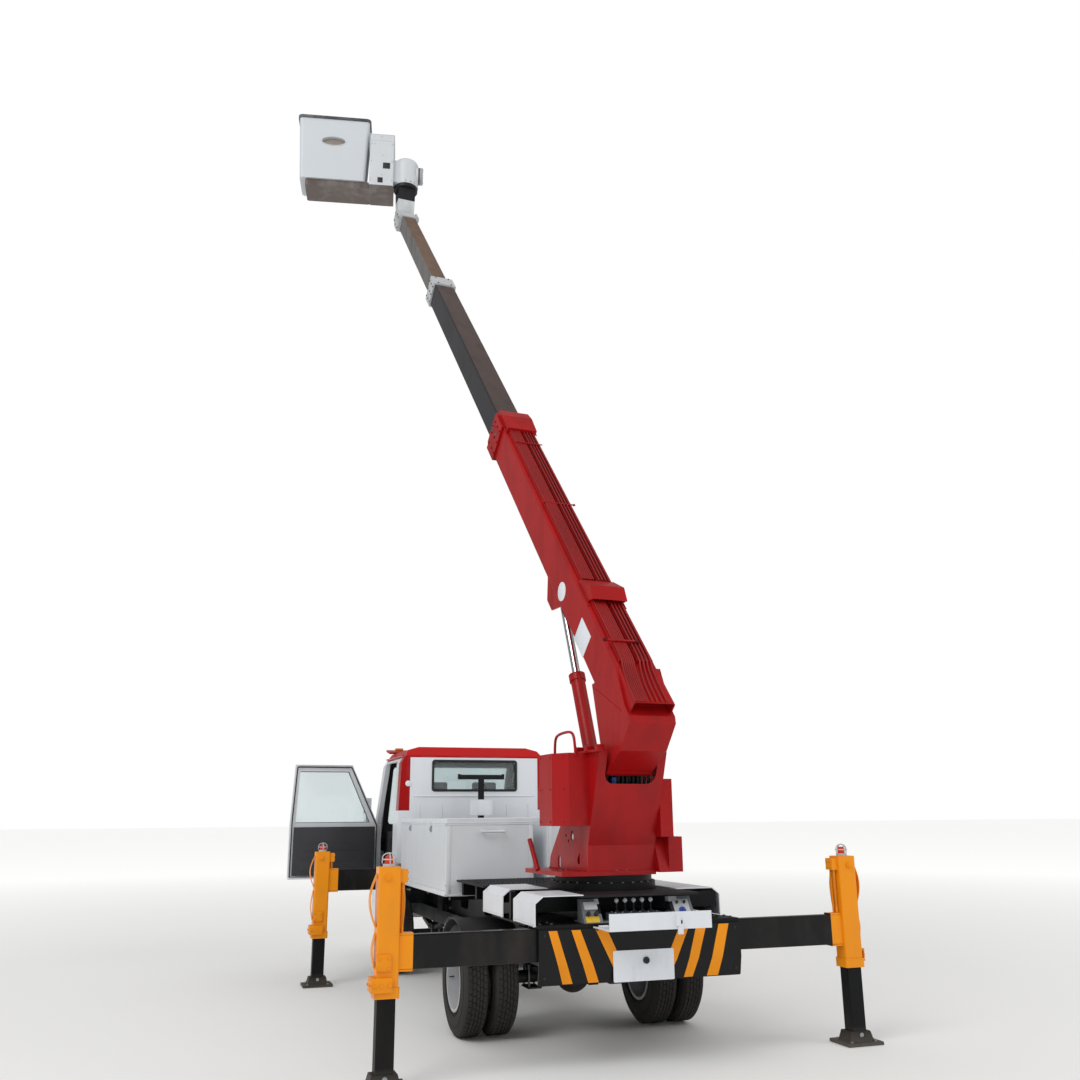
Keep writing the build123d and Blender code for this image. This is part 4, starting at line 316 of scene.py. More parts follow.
# Bucket: white gelcoat over laid-up glass fibre, chalked by the sun
bucket_shell = painted("glazed_bucket_shell", "#c3c8cd", "#bfc1c2", 0.3, 0.2, 0.12, 0.01, areas=(
    (BASKET, (-2, -1, 12.058), (1, 1, 13), "#46484c"),
))
carrier_enamel = painted("carrier_enamel", "#c5c9cd", "#b5b6b5", 0.32, 0.2, 0.12, areas=(
    # brown-grey over the underside and the part below the bucket: painted shade
    (BASKET, (-2, -1, 10), (1, 1, 10.9305), UNDERSIDE_SHADE),
    (BASKET, (-2, -1, 10), (-0.5605, 1, 11.04), UNDERSIDE_SHADE),
    (BASKET, (0.1905, -1, 11), (0.215, 1, 12), "#2c2d30"),
    (BASKET, (0.215, -1, 11), (1, 1, 12), "#9a9da0"),
))
# Brown-grey for the pocket's back wall: painted shade inside the pocket
pocket_shade_paint = painted("pocket_painted_shade", "#948a82", "#6f645d", 0.5, 0.4)
# Metals: hard chrome on the rod, cast iron, zinc plated fasteners, and steel left bare or burnt dull
chromed_rod = metal("chromed_rod", "#d8dadd", 0.12, 200)
cast_iron = painted("cast_iron", "#2b2a29", "#453a30", 0.65, 0.6, 0.0, 0.2, dust=0.5)
zinc_plate = metal("zinc_plate", "#b9bcc0", 0.38, 60)
dull_steel = metal("dull_steel", "#7f8083", 0.45, 40)
# Rubber, moulded plastic, seat cloth and cable sheath
tyre_rubber = moulded("tyre_rubber", "#19191a", "#3c3935", 0.82, 260, 0.25)
black_moulding = moulded("black_moulding", "#18191a", "#2b2b2b", 0.5, 420, 0.15)
cab_trim = moulded("cab_trim", "#2e2f33", "#404146", 0.6, 500, 0.2)
seat_cloth = moulded("seat_cloth", "#3a3d44", "#4c4f57", 0.9, 700, 0.4)
hose_rubber = moulded("hose_rubber", "#151516", "#2a2927", 0.55, 300, 0.1)
pale_cable = moulded("pale_cable", "#b9b2a0", "#8d8778", 0.6, 200, 0.1)
red_hose = moulded("red_painted_hose", "#a31213", "#7c1315", 0.42, 90, 0.15)
orange_hose = moulded("orange_painted_hose", "#e08c16", "#b9741c", 0.42, 90, 0.15)
label_vinyl = moulded("blank_yellow_label", "#e0b92a", "#caa52c", 0.4, 200, 0.03)
blue_plastic = moulded("blue_plastic", "#27408f", "#2b4aa8", 0.45, 200, 0.1)
amber_plastic = moulded("amber_plastic", "#d97a12", "#c0650f", 0.25, 200, 0.02)
# Tempered glass and lamp covers, and silvered mirror glass
window_glass = clear("window_glass", "#dfe9ea", 0.02, 0.92)
lamp_cover = clear("lamp_cover", "#f2f4f5", 0.06, 0.8)
mirror_glass = metal("mirror_glass", "#e8eaec", 0.04, 10)

# finish, and the CAD nodes that carry it. {} stands for left and right.
FINISHES = (
    (black_enamel, "axles chassis_frame fuel_tank outrigger_housings slew_drive subframe"),
    (red_enamel, "base_boom lift_barrel"),
    (grey_enamel, "boom_head mid_collar"),
    (rest_enamel, "boom_rest"),
    (bucket_shell, "bucket"),
    (carrier_enamel, "bucket_carrier"),
    (white_enamel, "bumper control_flap deck_covers"),
    (window_glass, "cab_glass door_pane_{}"),
    (cab_trim, "cab_interior"),
    (roof_enamel, "cab_roof"),
    (cab_enamel, "cab_shell"),
    (console_enamel, "control_console"),
    (deck_enamel, "deck"),
    (door_enamel, "door_{}"),
    (cast_iron, "engine knuckle_{}"),
    (black_moulding, "grille mudguards"),
    (lamp_cover, "headlamps"),
    (knuckle_enamel, "level_knuckle"),
    (chromed_rod, "lift_rod"),
    (locker_enamel, "locker_lid_{} lockers"),
    (charcoal_enamel, "mid_boom"),
    (bronze_enamel, "tip_boom"),
    (panel_enamel, "rear_panel"),
    (silver_enamel, "rim_front_{} rims_rear_{}"),
    (turret_enamel, "turret_frame"),
    (tyre_rubber, "tyre_front_{} tyres_rear_{}"),
    (front_arm_enamel, "outrigger_arm_front_{}"),
    (rear_arm_enamel, "outrigger_arm_rear_{}"),
    (leg_enamel, "outrigger_leg_front_{} outrigger_leg_rear_{}"),
)
for material, names in FINISHES:
    for name in sorted({name.format(hand) for name in names.split() for _, hand in HANDS}):
        nodes[name].data.materials.clear()
        nodes[name].data.materials.append(material)

# slot: the finishes that go into it, where a piece doesn't name another slot
SLOTS = {
    "white_paint": (white_enamel, locker_enamel, cab_enamel, carrier_enamel),
    "red_paint": (red_enamel, turret_enamel, groove_shade_and_knob_red, roof_enamel, red_hose),
    "orange_paint": (orange_enamel, orange_hose, amber_plastic),
    "grey_paint": (grey_enamel, deck_enamel, zinc_plate, dull_steel, label_vinyl, pale_cable),
    "black_plastic": (black_moulding, hose_rubber, blue_plastic),
    "cab_trim": (cab_trim, seat_cloth),
    "bucket_shell": (bucket_shell, pocket_shade_paint),
    "cast_metal": (cast_iron,),
    "rim_paint": (silver_enamel,),
    "tyre_rubber": (tyre_rubber,),
    "window_glass": (mirror_glass,),
}
SLOT_OF = {material.name: slot for slot, materials in SLOTS.items() for material in materials}


# Mesh tools. Each adds one closed form to the open mesh, with its places in the given frame.
mesh = bmesh.new()
X, Y, Z = (1, 0, 0), (0, 1, 0), (0, 0, 1)
BACK, DOWN = (0, -1, 0), (0, 0, -1)


def soften(edges, width, segments=2):
    if width:
        bmesh.ops.bevel(mesh, geom=list(edges), offset=width, offset_type="OFFSET", affect="EDGES",
                        segments=segments, profile=0.5, material=-1, clamp_overlap=True)


def turned_to(frame, middle, axis):
    """The frame moved to a middle and turned so that its z lies along an axis."""
    turn = Vector(Z).rotation_difference(Vector(axis)).to_matrix().to_4x4()
    return frame @ Matrix.Translation(middle) @ turn


def add_block(frame, low, high, bevel=0.003, segments=2):
    low, high = Vector(low), Vector(high)
    size = Matrix.Diagonal((*(high - low), 1))
    made = bmesh.ops.create_cube(mesh, size=1, matrix=frame @ Matrix.Translation((low + high) / 2) @ size)
    soften({edge for vert in made["verts"] for edge in vert.link_edges}, bevel, segments)


def add_drum(frame, middle, axis, radius, length, sides=24, bevel=0.0, far_radius=None):
    """Round or many-sided drum about an axis through its middle."""
    far_radius = radius if far_radius is None else far_radius
    made = bmesh.ops.create_cone(mesh, cap_ends=True, segments=sides, radius1=radius, radius2=far_radius,
                                 depth=length, matrix=turned_to(frame, middle, axis))
    caps = {face for vert in made["verts"] for face in vert.link_faces if len(face.verts) == sides}
    soften({edge for face in caps for edge in face.edges}, bevel)


def add_sheet(frame, corners, step, bevel=0.0):
    """Flat face through the corners, thickened by a step."""
    face = mesh.faces.new([mesh.verts.new(frame @ Vector(corner)) for corner in corners])
    made = bmesh.ops.extrude_face_region(mesh, geom=[face])
    far = [part for part in made["geom"] if isinstance(part, bmesh.types.BMVert)]
    bmesh.ops.translate(mesh, verts=far, vec=frame.to_3x3() @ Vector(step))
    faces = {face} | {other for vert in far for other in vert.link_faces}
    soften({edge for other in faces for edge in other.edges}, bevel)


def add_plate(frame, normal, points, low, high, bevel=0.0):
    """Flat outline square to an axis (0, 1 or 2), thickened along it from low to high."""
    corners = [(*point[:normal], low, *point[normal:]) for point in points]
    step = [0, 0, 0]
    step[normal] = high - low
    add_sheet(frame, corners, step, bevel)


def add_bow(frame, low, high, root, bow, half):
    """Sprung strap bowed outward between two heights, with flat ends."""
    steps = 12
    thick = 0.006
    outer = [(root + thick + bow * math.sin(math.pi * step / steps), low + (high - low) * step / steps)
             for step in range(steps + 1)]
    inner = [(x - thick, z) for x, z in reversed(outer)]
    add_plate(frame, 1, outer + inner, -half, half)


def add_ball(frame, middle, radius, squash=(1, 1, 1), detail=12):
    size = Matrix.Diagonal((*squash, 1))
    bmesh.ops.create_uvsphere(mesh, u_segments=2 * detail, v_segments=detail, radius=radius,
                              matrix=frame @ Matrix.Translation(middle) @ size)


def add_ring(frame, middle, axis, profile, steps=48):
    """Closed ring spun from a profile of (radius, distance along the axis)."""
    place = turned_to(frame, middle, axis)
    verts = [mesh.verts.new(place @ Vector((radius, 0, level))) for radius, level in profile]
    edges = [mesh.edges.new((a, b)) for a, b in zip(verts, verts[1:] + verts[:1])]
    bmesh.ops.spin(mesh, geom=verts + edges, cent=place.translation, axis=place.to_3x3() @ Vector(Z),
                   angle=math.tau, steps=steps, use_merge=True)


def add_bolt(frame, middle, axis, size):
    """Hexagon head on a round washer. size is the head's radius."""
    middle, axis = Vector(middle), Vector(axis).normalized()
    add_drum(frame, middle + axis * size * 0.1, axis, size * 1.5, size * 0.2, 12)
    add_drum(frame, middle + axis * size * 0.55, axis, size, size * 0.8, 6)


def at_each(add, frame, xs, ys, zs, *measures):
    """One form at every meeting of the x, y and z places, each a number or a row of them."""
    rows = [places if isinstance(places, (list, tuple)) else (places,) for places in (xs, ys, zs)]
    for place in itertools.product(*rows):
        add(frame, place, *measures)


def circle(middle, radius, count, first, second, start=0.0):
    """Places round a circle, from the first direction towards the second."""
    first, second = Vector(first) * radius, Vector(second) * radius
    turns = [math.tau * (step + start) / count for step in range(count)]
    return [Vector(middle) + first * math.cos(turn) + second * math.sin(turn) for turn in turns]


def finish(name, material, body="chassis", slot=None):
    """Makes the open mesh a piece: outward faces, crisp edges, finish and body. Empties the mesh."""
    crease = math.radians(38)
    bmesh.ops.recalc_face_normals(mesh, faces=mesh.faces)
    for face in mesh.faces:
        face.smooth = True
    for edge in mesh.edges:
        edge.smooth = not edge.is_manifold or edge.calc_face_angle() < crease
    data = bpy.data.meshes.new(name)
    mesh.to_mesh(data)
    mesh.clear()
    piece = bpy.data.objects.new(name, data)
    bpy.context.scene.collection.objects.link(piece)
    data.materials.append(material)
    slot = slot or SLOT_OF[material.name]
    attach(piece, body)
    return piece


def lay_hoses(name, frame, lines, radius, material, body="chassis", slot=None, detail=2):
    """Smooth round hoses or cables, each along its own points."""
    line_data = bpy.data.curves.new(name, "CURVE")
    line_data.dimensions = "3D"
    line_data.resolution_u = 6
    line_data.bevel_depth = radius
    line_data.bevel_resolution = detail
    line_data.use_fill_caps = True
    for points in lines:
        spline = line_data.splines.new("NURBS")
        spline.points.add(len(points) - 1)
        for spot, point in zip(spline.points, points):
            spot.co = (*(frame @ Vector(point)), 1)
        spline.order_u = 3
        spline.use_endpoint_u = True
    drawn = bpy.data.objects.new(name + "_line", line_data)
    bpy.context.scene.collection.objects.link(drawn)
    data = bpy.data.meshes.new_from_object(drawn.evaluated_get(bpy.context.evaluated_depsgraph_get()))
    bpy.data.objects.remove(drawn)
    mesh.from_mesh(data)
    bpy.data.meshes.remove(data)
    finish(name, material, body, slot)


# Rear panel: hazard stripes that follow its fold, fixings and the lock in the blank plate
# each stripe's low x and high x at the top edge, at the fold and at the bottom edge
STRIPES = (
    ((-0.655, -0.597), (-0.592, -0.53), (-0.556, -0.488)),
    ((-0.499, -0.437), (-0.424, -0.354), (-0.38, -0.308)),
    ((-0.332, -0.253), (-0.227, -0.153), (-0.169, -0.097)),
    ((0.269, 0.34), (0.164, 0.24), (0.106, 0.184)),
    ((0.393, 0.467), (0.33, 0.4), (0.296, 0.36)),
    ((0.559, 0.634), (0.499, 0.578), (0.465, 0.548)),
)
# distance ahead and height of the panel's skin at the same three lines
PANEL_LINES = ((-0.1185, 0.842), (-0.1185, 0.634), (-0.0955, 0.519))
for stripe in STRIPES:
    for upper, lower in ((0, 1), (1, 2)):
        corners = [(stripe[upper][0], *PANEL_LINES[upper]), (stripe[upper][1], *PANEL_LINES[upper]),
                   (stripe[lower][1], *PANEL_LINES[lower]), (stripe[lower][0], *PANEL_LINES[lower])]
        add_sheet(TRUCK, corners, (0, 0.003, 0))
finish("panel_stripes", orange_enamel)

add_ring(TRUCK, (0.015, -0.133, 0.64), BACK, (
    (0.01, -0.004), (0.021, -0.004), (0.021, 0.003), (0.01, 0.005)))
for ahead, height in ((-0.103, 0.56), (-0.117, 0.815)):
    at_each(add_bolt, TRUCK, (-0.68, 0.68), ahead, height, BACK, 0.006)
finish("panel_fixings", black_moulding)

# Control flap: rolled edge and the latch that hangs from its lip
lay_hoses("flap_edge", TRUCK, [
    [(-0.353, -0.14, 0.858), (-0.353, -0.28, 0.858), (-0.353, -0.413, 0.858), (0, -0.413, 0.858),
     (0.353, -0.413, 0.858), (0.353, -0.28, 0.858), (0.353, -0.14, 0.858)],
], 0.004, white_enamel, "control_flap", detail=3)
add_block(TRUCK, (0.112, -0.4245, 0.822), (0.15, -0.4135, 0.892), 0.003)
finish("flap_latch", white_enamel, "control_flap")
add_block(TRUCK, (0.118, -0.4255, 0.884), (0.144, -0.4125, 0.906), 0.003)
finish("flap_latch_hook", black_moulding, "control_flap")

# Control console: rubber boots, fixings, dial and switches, knobs of the left face, and the hoses below
LEVERS = (-0.139, -0.077, -0.015, 0.047, 0.109)
CONSOLE_SLOPE = TRUCK @ Matrix.Translation((0, -0.1, 0.88)) @ Matrix.Rotation(math.atan2(0.14, 0.09), 4, "X")
for x in LEVERS:
    add_drum(TRUCK, (x, -0.015, 0.939), Z, 0.017, 0.018, 20, 0.002, 0.008)
    add_ring(TRUCK, (x, -0.015, 0.933), Z, ((0.013, 0), (0.02, 0), (0.02, 0.005), (0.013, 0.005)), 20)
at_each(add_drum, CONSOLE_SLOPE, (-0.365, -0.31), 0.055, 0.013, Z, 0.014, 0.026, 20, 0.004)
at_each(add_drum, CONSOLE_SLOPE, (0.29, 0.345), 0.118, 0.01, Z, 0.009, 0.02, 16, 0.003)
finish("console_boots", black_moulding)

add_block(CONSOLE_SLOPE, (0.262, 0.02, -0.002), (0.378, 0.142, 0.003), 0.002)
add_block(CONSOLE_SLOPE, (-0.385, 0.085, -0.002), (-0.292, 0.14, 0.016), 0.004)
finish("console_plates", grey_enamel)

add_drum(CONSOLE_SLOPE, (0.318, 0.06, 0.008), Z, 0.024, 0.012, 28, 0.003)
add_drum(CONSOLE_SLOPE, (0.318, 0.06, 0.018), Z, 0.007, 0.012, 12, 0.002)
finish("console_dial", blue_plastic)

at_each(add_bolt, TRUCK, (-0.16, *[x + 0.031 for x in LEVERS]), (-0.045, 0.018), 0.93, Z, 0.006)
at_each(add_drum, TRUCK, LEVERS, -0.066, 0.905, Y, 0.011, 0.016, 6, 0.001)
finish("console_bolts", zinc_plate)
lay_hoses("console_hoses", TRUCK, [
    [(x, -0.062, 0.905), (x, -0.088, 0.905), (x, -0.094, 0.893), (x, -0.088, 0.884), (x, -0.062, 0.884)]
    for x in LEVERS
], 0.006, hose_rubber, detail=3)
add_block(CONSOLE_SLOPE, (-0.385, 0.0, -0.002), (-0.29, 0.044, 0.002), 0.001)
finish("console_label", label_vinyl)

# Outriggers. An arm's frame has x outward from its column's middle and z up. The two beams of a box lie
# this far behind and ahead of its line.
BEAM_SHIFT = 0.045
# end: line ahead, column x, column bottom, column top, beam top
OUTRIGGERS = {"rear": (0, 1.68, 0.5, 1.255, 0.855), "front": (4.06, 1.6, 0.43, 1.23, 1.06)}
for end, (line, column_x, bottom, top, beam_top) in OUTRIGGERS.items():
    for side, hand in HANDS:
        mirror = Matrix.Diagonal((side, -side, 1, 1))
        arm = TRUCK @ Matrix.Translation((side * column_x, line + side * BEAM_SHIFT, 0)) @ mirror
        name = f"{end}_{hand}"
        body = f"outrigger_arm_{name}"

        add_block(arm, (-0.022, -0.074, bottom + 0.155), (0.073, -0.061, bottom + 0.25), 0.003)
        add_block(arm, (-0.028, -0.09, bottom + 0.036), (0.102, -0.061, bottom + 0.12), 0.004)
        for z in (bottom + 0.036, bottom + 0.106):
            add_block(arm, (0.068, -0.072, z), (0.102, 0.04, z + 0.014), 0.003)
        add_bow(arm, 0.9, top - 0.04, 0.068, 0.042, 0.026)
        add_bow(arm, bottom + 0.165, 0.87, 0.068, 0.02, 0.026)
        at_each(add_drum, arm, 0.01, (-0.068, 0.068), top - 0.062, Y, 0.02, 0.016, 24, 0.003)
        finish(f"column_straps_{name}", orange_enamel, body)

        at_each(add_bolt, arm, (-0.006, 0.056), -0.074, (bottom + 0.172, bottom + 0.232), BACK, 0.009)
        at_each(add_bolt, arm, (-0.01, 0.04, 0.085), -0.09, bottom + 0.078, BACK, 0.01)
        at_each(add_bolt, arm, 0.102, (-0.05, 0.02), bottom + 0.078, X, 0.009)
        for face in (-1, 1):
            add_bolt(arm, (0.01, face * 0.076, top - 0.062), (0, face, 0), 0.009)
        add_block(arm, (0.095, -0.068, bottom + 0.052), (0.103, 0.036, bottom + 0.104), 0.002)
        at_each(add_bolt, arm, 0.074, 0, (0.912, top - 0.052, bottom + 0.177, 0.858), X, 0.007)
        at_each(add_bolt, arm, -0.115, (-0.025, 0.025), (top - 0.075, top - 0.035), (-1, 0, 0), 0.007)
        finish(f"column_bolts_{name}", orange_enamel, body)

        # Lamp guard: two crossed hoops and a ring
        turns = [math.pi * step / 9 for step in range(10)]
        arch = [(0.042 * math.cos(turn), 0.03 * math.sin(turn) + 0.052) for turn in turns]
        hoop = [(0.042, 0.02), *arch, (-0.042, 0.02)]
        ring = circle((0, 0, top + 0.044), 0.042, 16, X, Y)
        lay_hoses(f"lamp_guard_{name}", arm, [
            [(x, 0, top + z) for x, z in hoop], [(0, y, top + z) for y, z in hoop], [*ring, ring[0]],
        ], 0.0038, grey_enamel, body)
        lay_hoses(f"column_hoses_{name}", arm, [
            [(-0.093, y, top - 0.094), (-0.093, y, top - 0.13), (-0.1, y * 1.5, top - 0.2),
             (-0.092, y * 1.2, beam_top + 0.06), (-0.086, y, beam_top + 0.004)]
            for y in (-0.018, 0.018)
        ], 0.0075, orange_hose, body)

        at_each(add_bolt, arm, (-0.095, 0.095), (-0.085, 0.085), 0.02, Z, 0.01)
        at_each(add_drum, arm, 0, (-0.0655, 0.0655), 0.062, Y, 0.016, 0.01, 24, 0.002)
        finish(f"foot_bolts_{name}", zinc_plate, f"outrigger_leg_{name}")

# Outrigger boxes: wear pad adjusters at the four mouths
ADJUSTERS = (-0.69, -0.61, 0.61, 0.69)
BOX_HALF = 0.105
for line, low, high in ((0, 0.635, 0.875), (4.06, 0.84, 1.08)):
    heights = (low + 0.06, high - 0.06)
    at_each(add_bolt, TRUCK, ADJUSTERS, (line - BEAM_SHIFT, line + BEAM_SHIFT), high, Z, 0.009)
    for face in (-1, 1):
        at_each(add_bolt, TRUCK, ADJUSTERS, line + face * BOX_HALF, heights, (0, face, 0), 0.009)
finish("outrigger_box_bolts", dull_steel, slot="black_paint")

# Deck: tread bars, slew ring studs, and the seams and rivets of its white covers
TREAD_PITCH = 0.042
BAR_LOW, BAR_HIGH = 1.0488, 1.0506
# half width, first and last distance ahead
for half, first, last in ((0.425, 1.0, 1.12), (0.735, 1.145, 1.965)):
    for row in range(int((last - first) / TREAD_PITCH)):
        for column in range(int(2 * half / TREAD_PITCH)):
            lean = 1 if (row + column) % 2 else -1
            x = -half + (column + 0.5) * TREAD_PITCH
            y = first + (row + 0.5) * TREAD_PITCH
            add_plate(TRUCK, 2, (
                (x - 0.011, y - lean * 0.011), (x + 0.003, y - lean * 0.004),
                (x + 0.011, y + lean * 0.011), (x - 0.003, y + lean * 0.004)), BAR_LOW, BAR_HIGH)
finish("deck_tread", deck_enamel)

for place in circle((0, SLEW_AHEAD, 1.1), 0.3625, 28, Y, X):
    add_bolt(TRUCK, place, Z, 0.008)
finish("deck_studs", dull_steel, slot="black_paint")
# hand, first and last distance ahead of each cover
for hand, first, last in (("left", -0.115, 0.354), ("left", 0.607, 1.126), ("right", 0.2, 1.126)):
    add_block(OUTWARD[hand], (0.743, first + 0.002, 0.884), (0.7495, last - 0.002, 0.889), 0.0015)
    at_each(add_drum, OUTWARD[hand], 0.747, (first + 0.02, last - 0.02), 0.872, X, 0.006, 0.005, 12, 0.001)
finish("deck_cover_seams", white_enamel)

# Turret: studs on its base plate, cover screws, brackets, handrail, brace and edge welds
for place in circle((0, 0, 1.18), 0.305, 24, Y, X, 0.5):
    if not 0.23 < abs(place.x) < 0.285 and place.x < 0.27:
        add_bolt(TURRET, place, Z, 0.01)
finish("turret_studs", dull_steel, "turret", "black_paint")

# radius, length, sides and rounding of a screw's head
SCREW = (0.008, 0.006, 12, 0.001)
SCREW_HEIGHTS = (1.51, 1.735, 1.958)
at_each(add_drum, TURRET, -0.471, (-0.14, 0.035), SCREW_HEIGHTS, X, *SCREW)
at_each(add_drum, TURRET, 0.363, (-0.4, -0.28), (1.425, 1.785), X, *SCREW)
at_each(add_drum, TURRET, 0.451, (-0.36, -0.18), (1.19, 1.385), X, *SCREW)
at_each(add_drum, TURRET, -0.4237, -0.274, SCREW_HEIGHTS, (-2, -1, 0), *SCREW)
at_each(add_drum, TURRET, -0.29, -0.336, SCREW_HEIGHTS, Y, *SCREW)
finish("turret_cover_screws", turret_enamel, "turret")

add_block(TURRET, (-0.29, -0.575, 1.98), (-0.24, -0.175, 1.998), 0.004)
for reach in (-0.55, -0.38, -0.2):
    add_block(TURRET, (-0.296, reach - 0.022, 1.985), (-0.234, reach + 0.022, 2.03), 0.006)
finish("turret_brackets", turret_enamel, "turret")

lay_hoses("turret_handrail", TURRET, [
    [(-0.35, -0.33, 1.965), (-0.35, -0.325, 2.03), (-0.35, -0.3, 2.118), (-0.35, -0.22, 2.14),
     (-0.35, -0.05, 2.134), (-0.35, 0.025, 2.115), (-0.35, 0.045, 2.05), (-0.35, 0.045, 1.965)],
], 0.01, turret_enamel, "turret", detail=3)
lay_hoses("turret_brace", TURRET, [
    [(-0.452, 0.305, 1.385), (-0.452, 0.226, 1.28), (-0.452, 0.147, 1.176)],
], 0.018, turret_enamel, "turret", detail=3)
lay_hoses("turret_edge_welds", TURRET, [
    [(x, reach, 1.184) for reach in (-0.31, 0, 0.38)] for x in (-0.264, -0.248, 0.248, 0.264)
], 0.005, turret_enamel, "turret")

# Hoses and valves in the turret's upper cut-out
lay_hoses("turret_hoses", TURRET, [
    [(x, -0.25, 1.3), (x * 1.1, -0.3, 1.55), (x * 1.2, -0.33 - lift, 1.72), (x * 1.25, -0.36 - lift, 1.83),
     (x, -0.33, 1.88), (x * 0.9, -0.27, 1.8), (x * 0.8, -0.25, 1.62)]
    for x, lift in ((-0.165 + 0.0236 * step, (step * 7 % 3) * 0.01) for step in range(15))
], 0.0115, hose_rubber, "turret", detail=3)
lay_hoses("turret_cables", TURRET, [
    [(-0.178, -0.36, 1.905), (-0.15, -0.37, 1.885), (-0.1, -0.37, 1.888), (-0.07, -0.35, 1.84)],
    [(0.07, -0.35, 1.86), (0.09, -0.37, 1.912), (0.14, -0.37, 1.905), (0.182, -0.36, 1.88)],
], 0.007, pale_cable, "turret")
for x, z in ((-0.086, 1.79), (0.03, 1.858)):
    add_block(TURRET, (x - 0.016, -0.4, z - 0.024), (x + 0.016, -0.36, z + 0.024), 0.004)
    add_drum(TURRET, (x, -0.405, z), Y, 0.009, 0.014, 12, 0.001)
finish("turret_solenoids", blue_plastic, "turret")

# Base boom: hose strands in its trays, painted shade in the trays' grooves, welds, cross rods, collar bolts
# and blank plates
# first x and step between strands along the boom and at its tail, and how many
BUNDLES = (((-0.12, 0.0153), (-0.15, 0.0155), 7), ((0.02, 0.03), (-0.024, 0.038), 4))
strands, upper_strands = [], []
for (first, step), (tail_first, tail_step), count in BUNDLES:
    for index in range(count):
        x, tail = first + step * index, tail_first + tail_step * index
        strands.append([
            (tail, 0.064, 0.179), (tail, 0.2, 0.1795), ((x + tail) / 2, 0.35, 0.1795), (x, 0.44, 0.185),
            (x, 0.475, 0.206), (x, 0.7, 0.2056), (x, 1.29, 0.2056)])
        upper_strands.append([(x, along, 0.2056) for along in (1.425, 2.4, 3.3, 3.88)])
lay_hoses("boom_strands_tail", BOOM, strands, 0.007, red_hose, "base_boom")
lay_hoses("boom_strands_front", BOOM, upper_strands, 0.007, red_hose, "base_boom")

# Dark red strips under the strands, showing in the grooves between them: painted shade
for low, high in ((-0.128, -0.021), (0.007, 0.122)):
    for start, stop in ((0.48, 1.12), (1.42, 3.87)):
        add_block(BOOM, (low, start, 0.197), (high, stop, 0.1998), 0.001)
finish("boom_groove_shade", groove_shade_and_knob_red, "base_boom")

lay_hoses("boom_welds", BOOM, [
    [(x, 0.568, -0.165), (x, 0.36, -0.075), (x, 0.141, 0.015)] for x in (-0.179, 0.179)
] + [
    [(x, start, up), (x, (start + stop) / 2, up), (x, stop, up)]
    for x in (-0.16, 0.16) for start, stop, up in ((1.12, 1.42, 0.17), (3.87, 4.2, 0.185))
], 0.0045, red_enamel, "base_boom")

# x, distance along, height, radius and length of each rod across the boom
for x, along, up, radius, length in (
    (-0.065, 0.66, 0.2205, 0.008, 0.25), (0.003, 3.62, 0.216, 0.006, 0.275), (0.003, 2.55, 0.21, 0.006, 0.29),
):
    add_drum(BOOM, (x, along, up), X, radius, length, 16, 0.001)
at_each(add_ball, BOOM, (-0.142, 0.148), 2.55, 0.21, 0.011, (1.2, 1, 1), 8)
for side in (-1, 1):
    at_each(add_bolt, BOOM, side * 0.18, (3.985, 4.085, 4.185), (-0.12, 0, 0.12), (side, 0, 0), 0.01)
at_each(add_bolt, BOOM, (-0.11, 0.11), (3.985, 4.185), -0.1905, DOWN, 0.01)
finish("boom_collar_bolts", red_enamel, "base_boom")
lay_hoses("collar_hose_clamp", BOOM, [
    [(-0.178, 4.02, 0.06), (-0.205, 4.025, 0.062), (-0.207, 4.06, 0.064), (-0.207, 4.16, 0.066),
     (-0.205, 4.195, 0.068), (-0.178, 4.2, 0.07)],
], 0.005, dull_steel, "base_boom")
at_each(add_ball, BOOM, (-0.192, 0.062), 0.66, 0.2205, 0.015, (1.3, 1, 1))
finish("cross_rod_knobs", groove_shade_and_knob_red, "base_boom")

add_block(BOOM, (-0.1635, 0.914, -0.166), (-0.1595, 1.145, 0.042), 0.0015)
add_drum(BOOM, (-0.161, 1.611, -0.061), X, 0.078, 0.004, 40, 0.001)
finish("blank_boom_plates", white_enamel, "base_boom")

# Middle and tip sections: collar bolts, and the head's cable and bolts
for side in (-1, 1):
    at_each(add_bolt, BOOM, side * 0.1475, (7.965, 8.065, 8.165), (-0.1, 0, 0.1), (side, 0, 0), 0.009)
    at_each(add_bolt, BOOM, (-0.085, 0.085), (7.965, 8.165), side * 0.1645, (0, 0, side), 0.009)
finish("mid_collar_bolts", dull_steel, "mid_boom")

lay_hoses("tip_cable", BOOM, [
    [(-0.15, 10.93, 0.0), (-0.158, 10.99, 0.06), (-0.16, 11.05, 0.07), (-0.158, 11.15, 0.03)],
], 0.0055, pale_cable, "tip_boom")
for side in (-1, 1):
    at_each(add_bolt, BOOM, side * 0.15, (10.925, 11.075), (-0.08, 0.08), (side, 0, 0), 0.01)
    at_each(add_bolt, BOOM, side * 0.15, 11.215, (-0.06, 0.06), (side, 0, 0), 0.01)
finish("tip_clips", dull_steel, "tip_boom")

# Lift cylinder: feed pipes, gland studs and the pipes' block
lay_hoses("lift_pipes", LIFT, [
    [(x, -0.056, 0.16), (x, -0.078, 0.17), (x, -0.08, 0.24), (x, -0.078, far - 0.08), (x, -0.078, far),
     (x, -0.055, far + 0.01)]
    for x, far in ((-0.02, 1.38), (0.02, 0.42))
], 0.008, turret_enamel, "lift_barrel")
for place in circle((0, 0, 1.42), 0.049, 8, X, Y, 0.5):
    add_bolt(LIFT, place, Z, 0.006)
add_block(LIFT, (-0.036, -0.098, 0.1), (0.036, -0.052, 0.19), 0.006)
finish("lift_gland_studs", dull_steel, "lift_barrel")

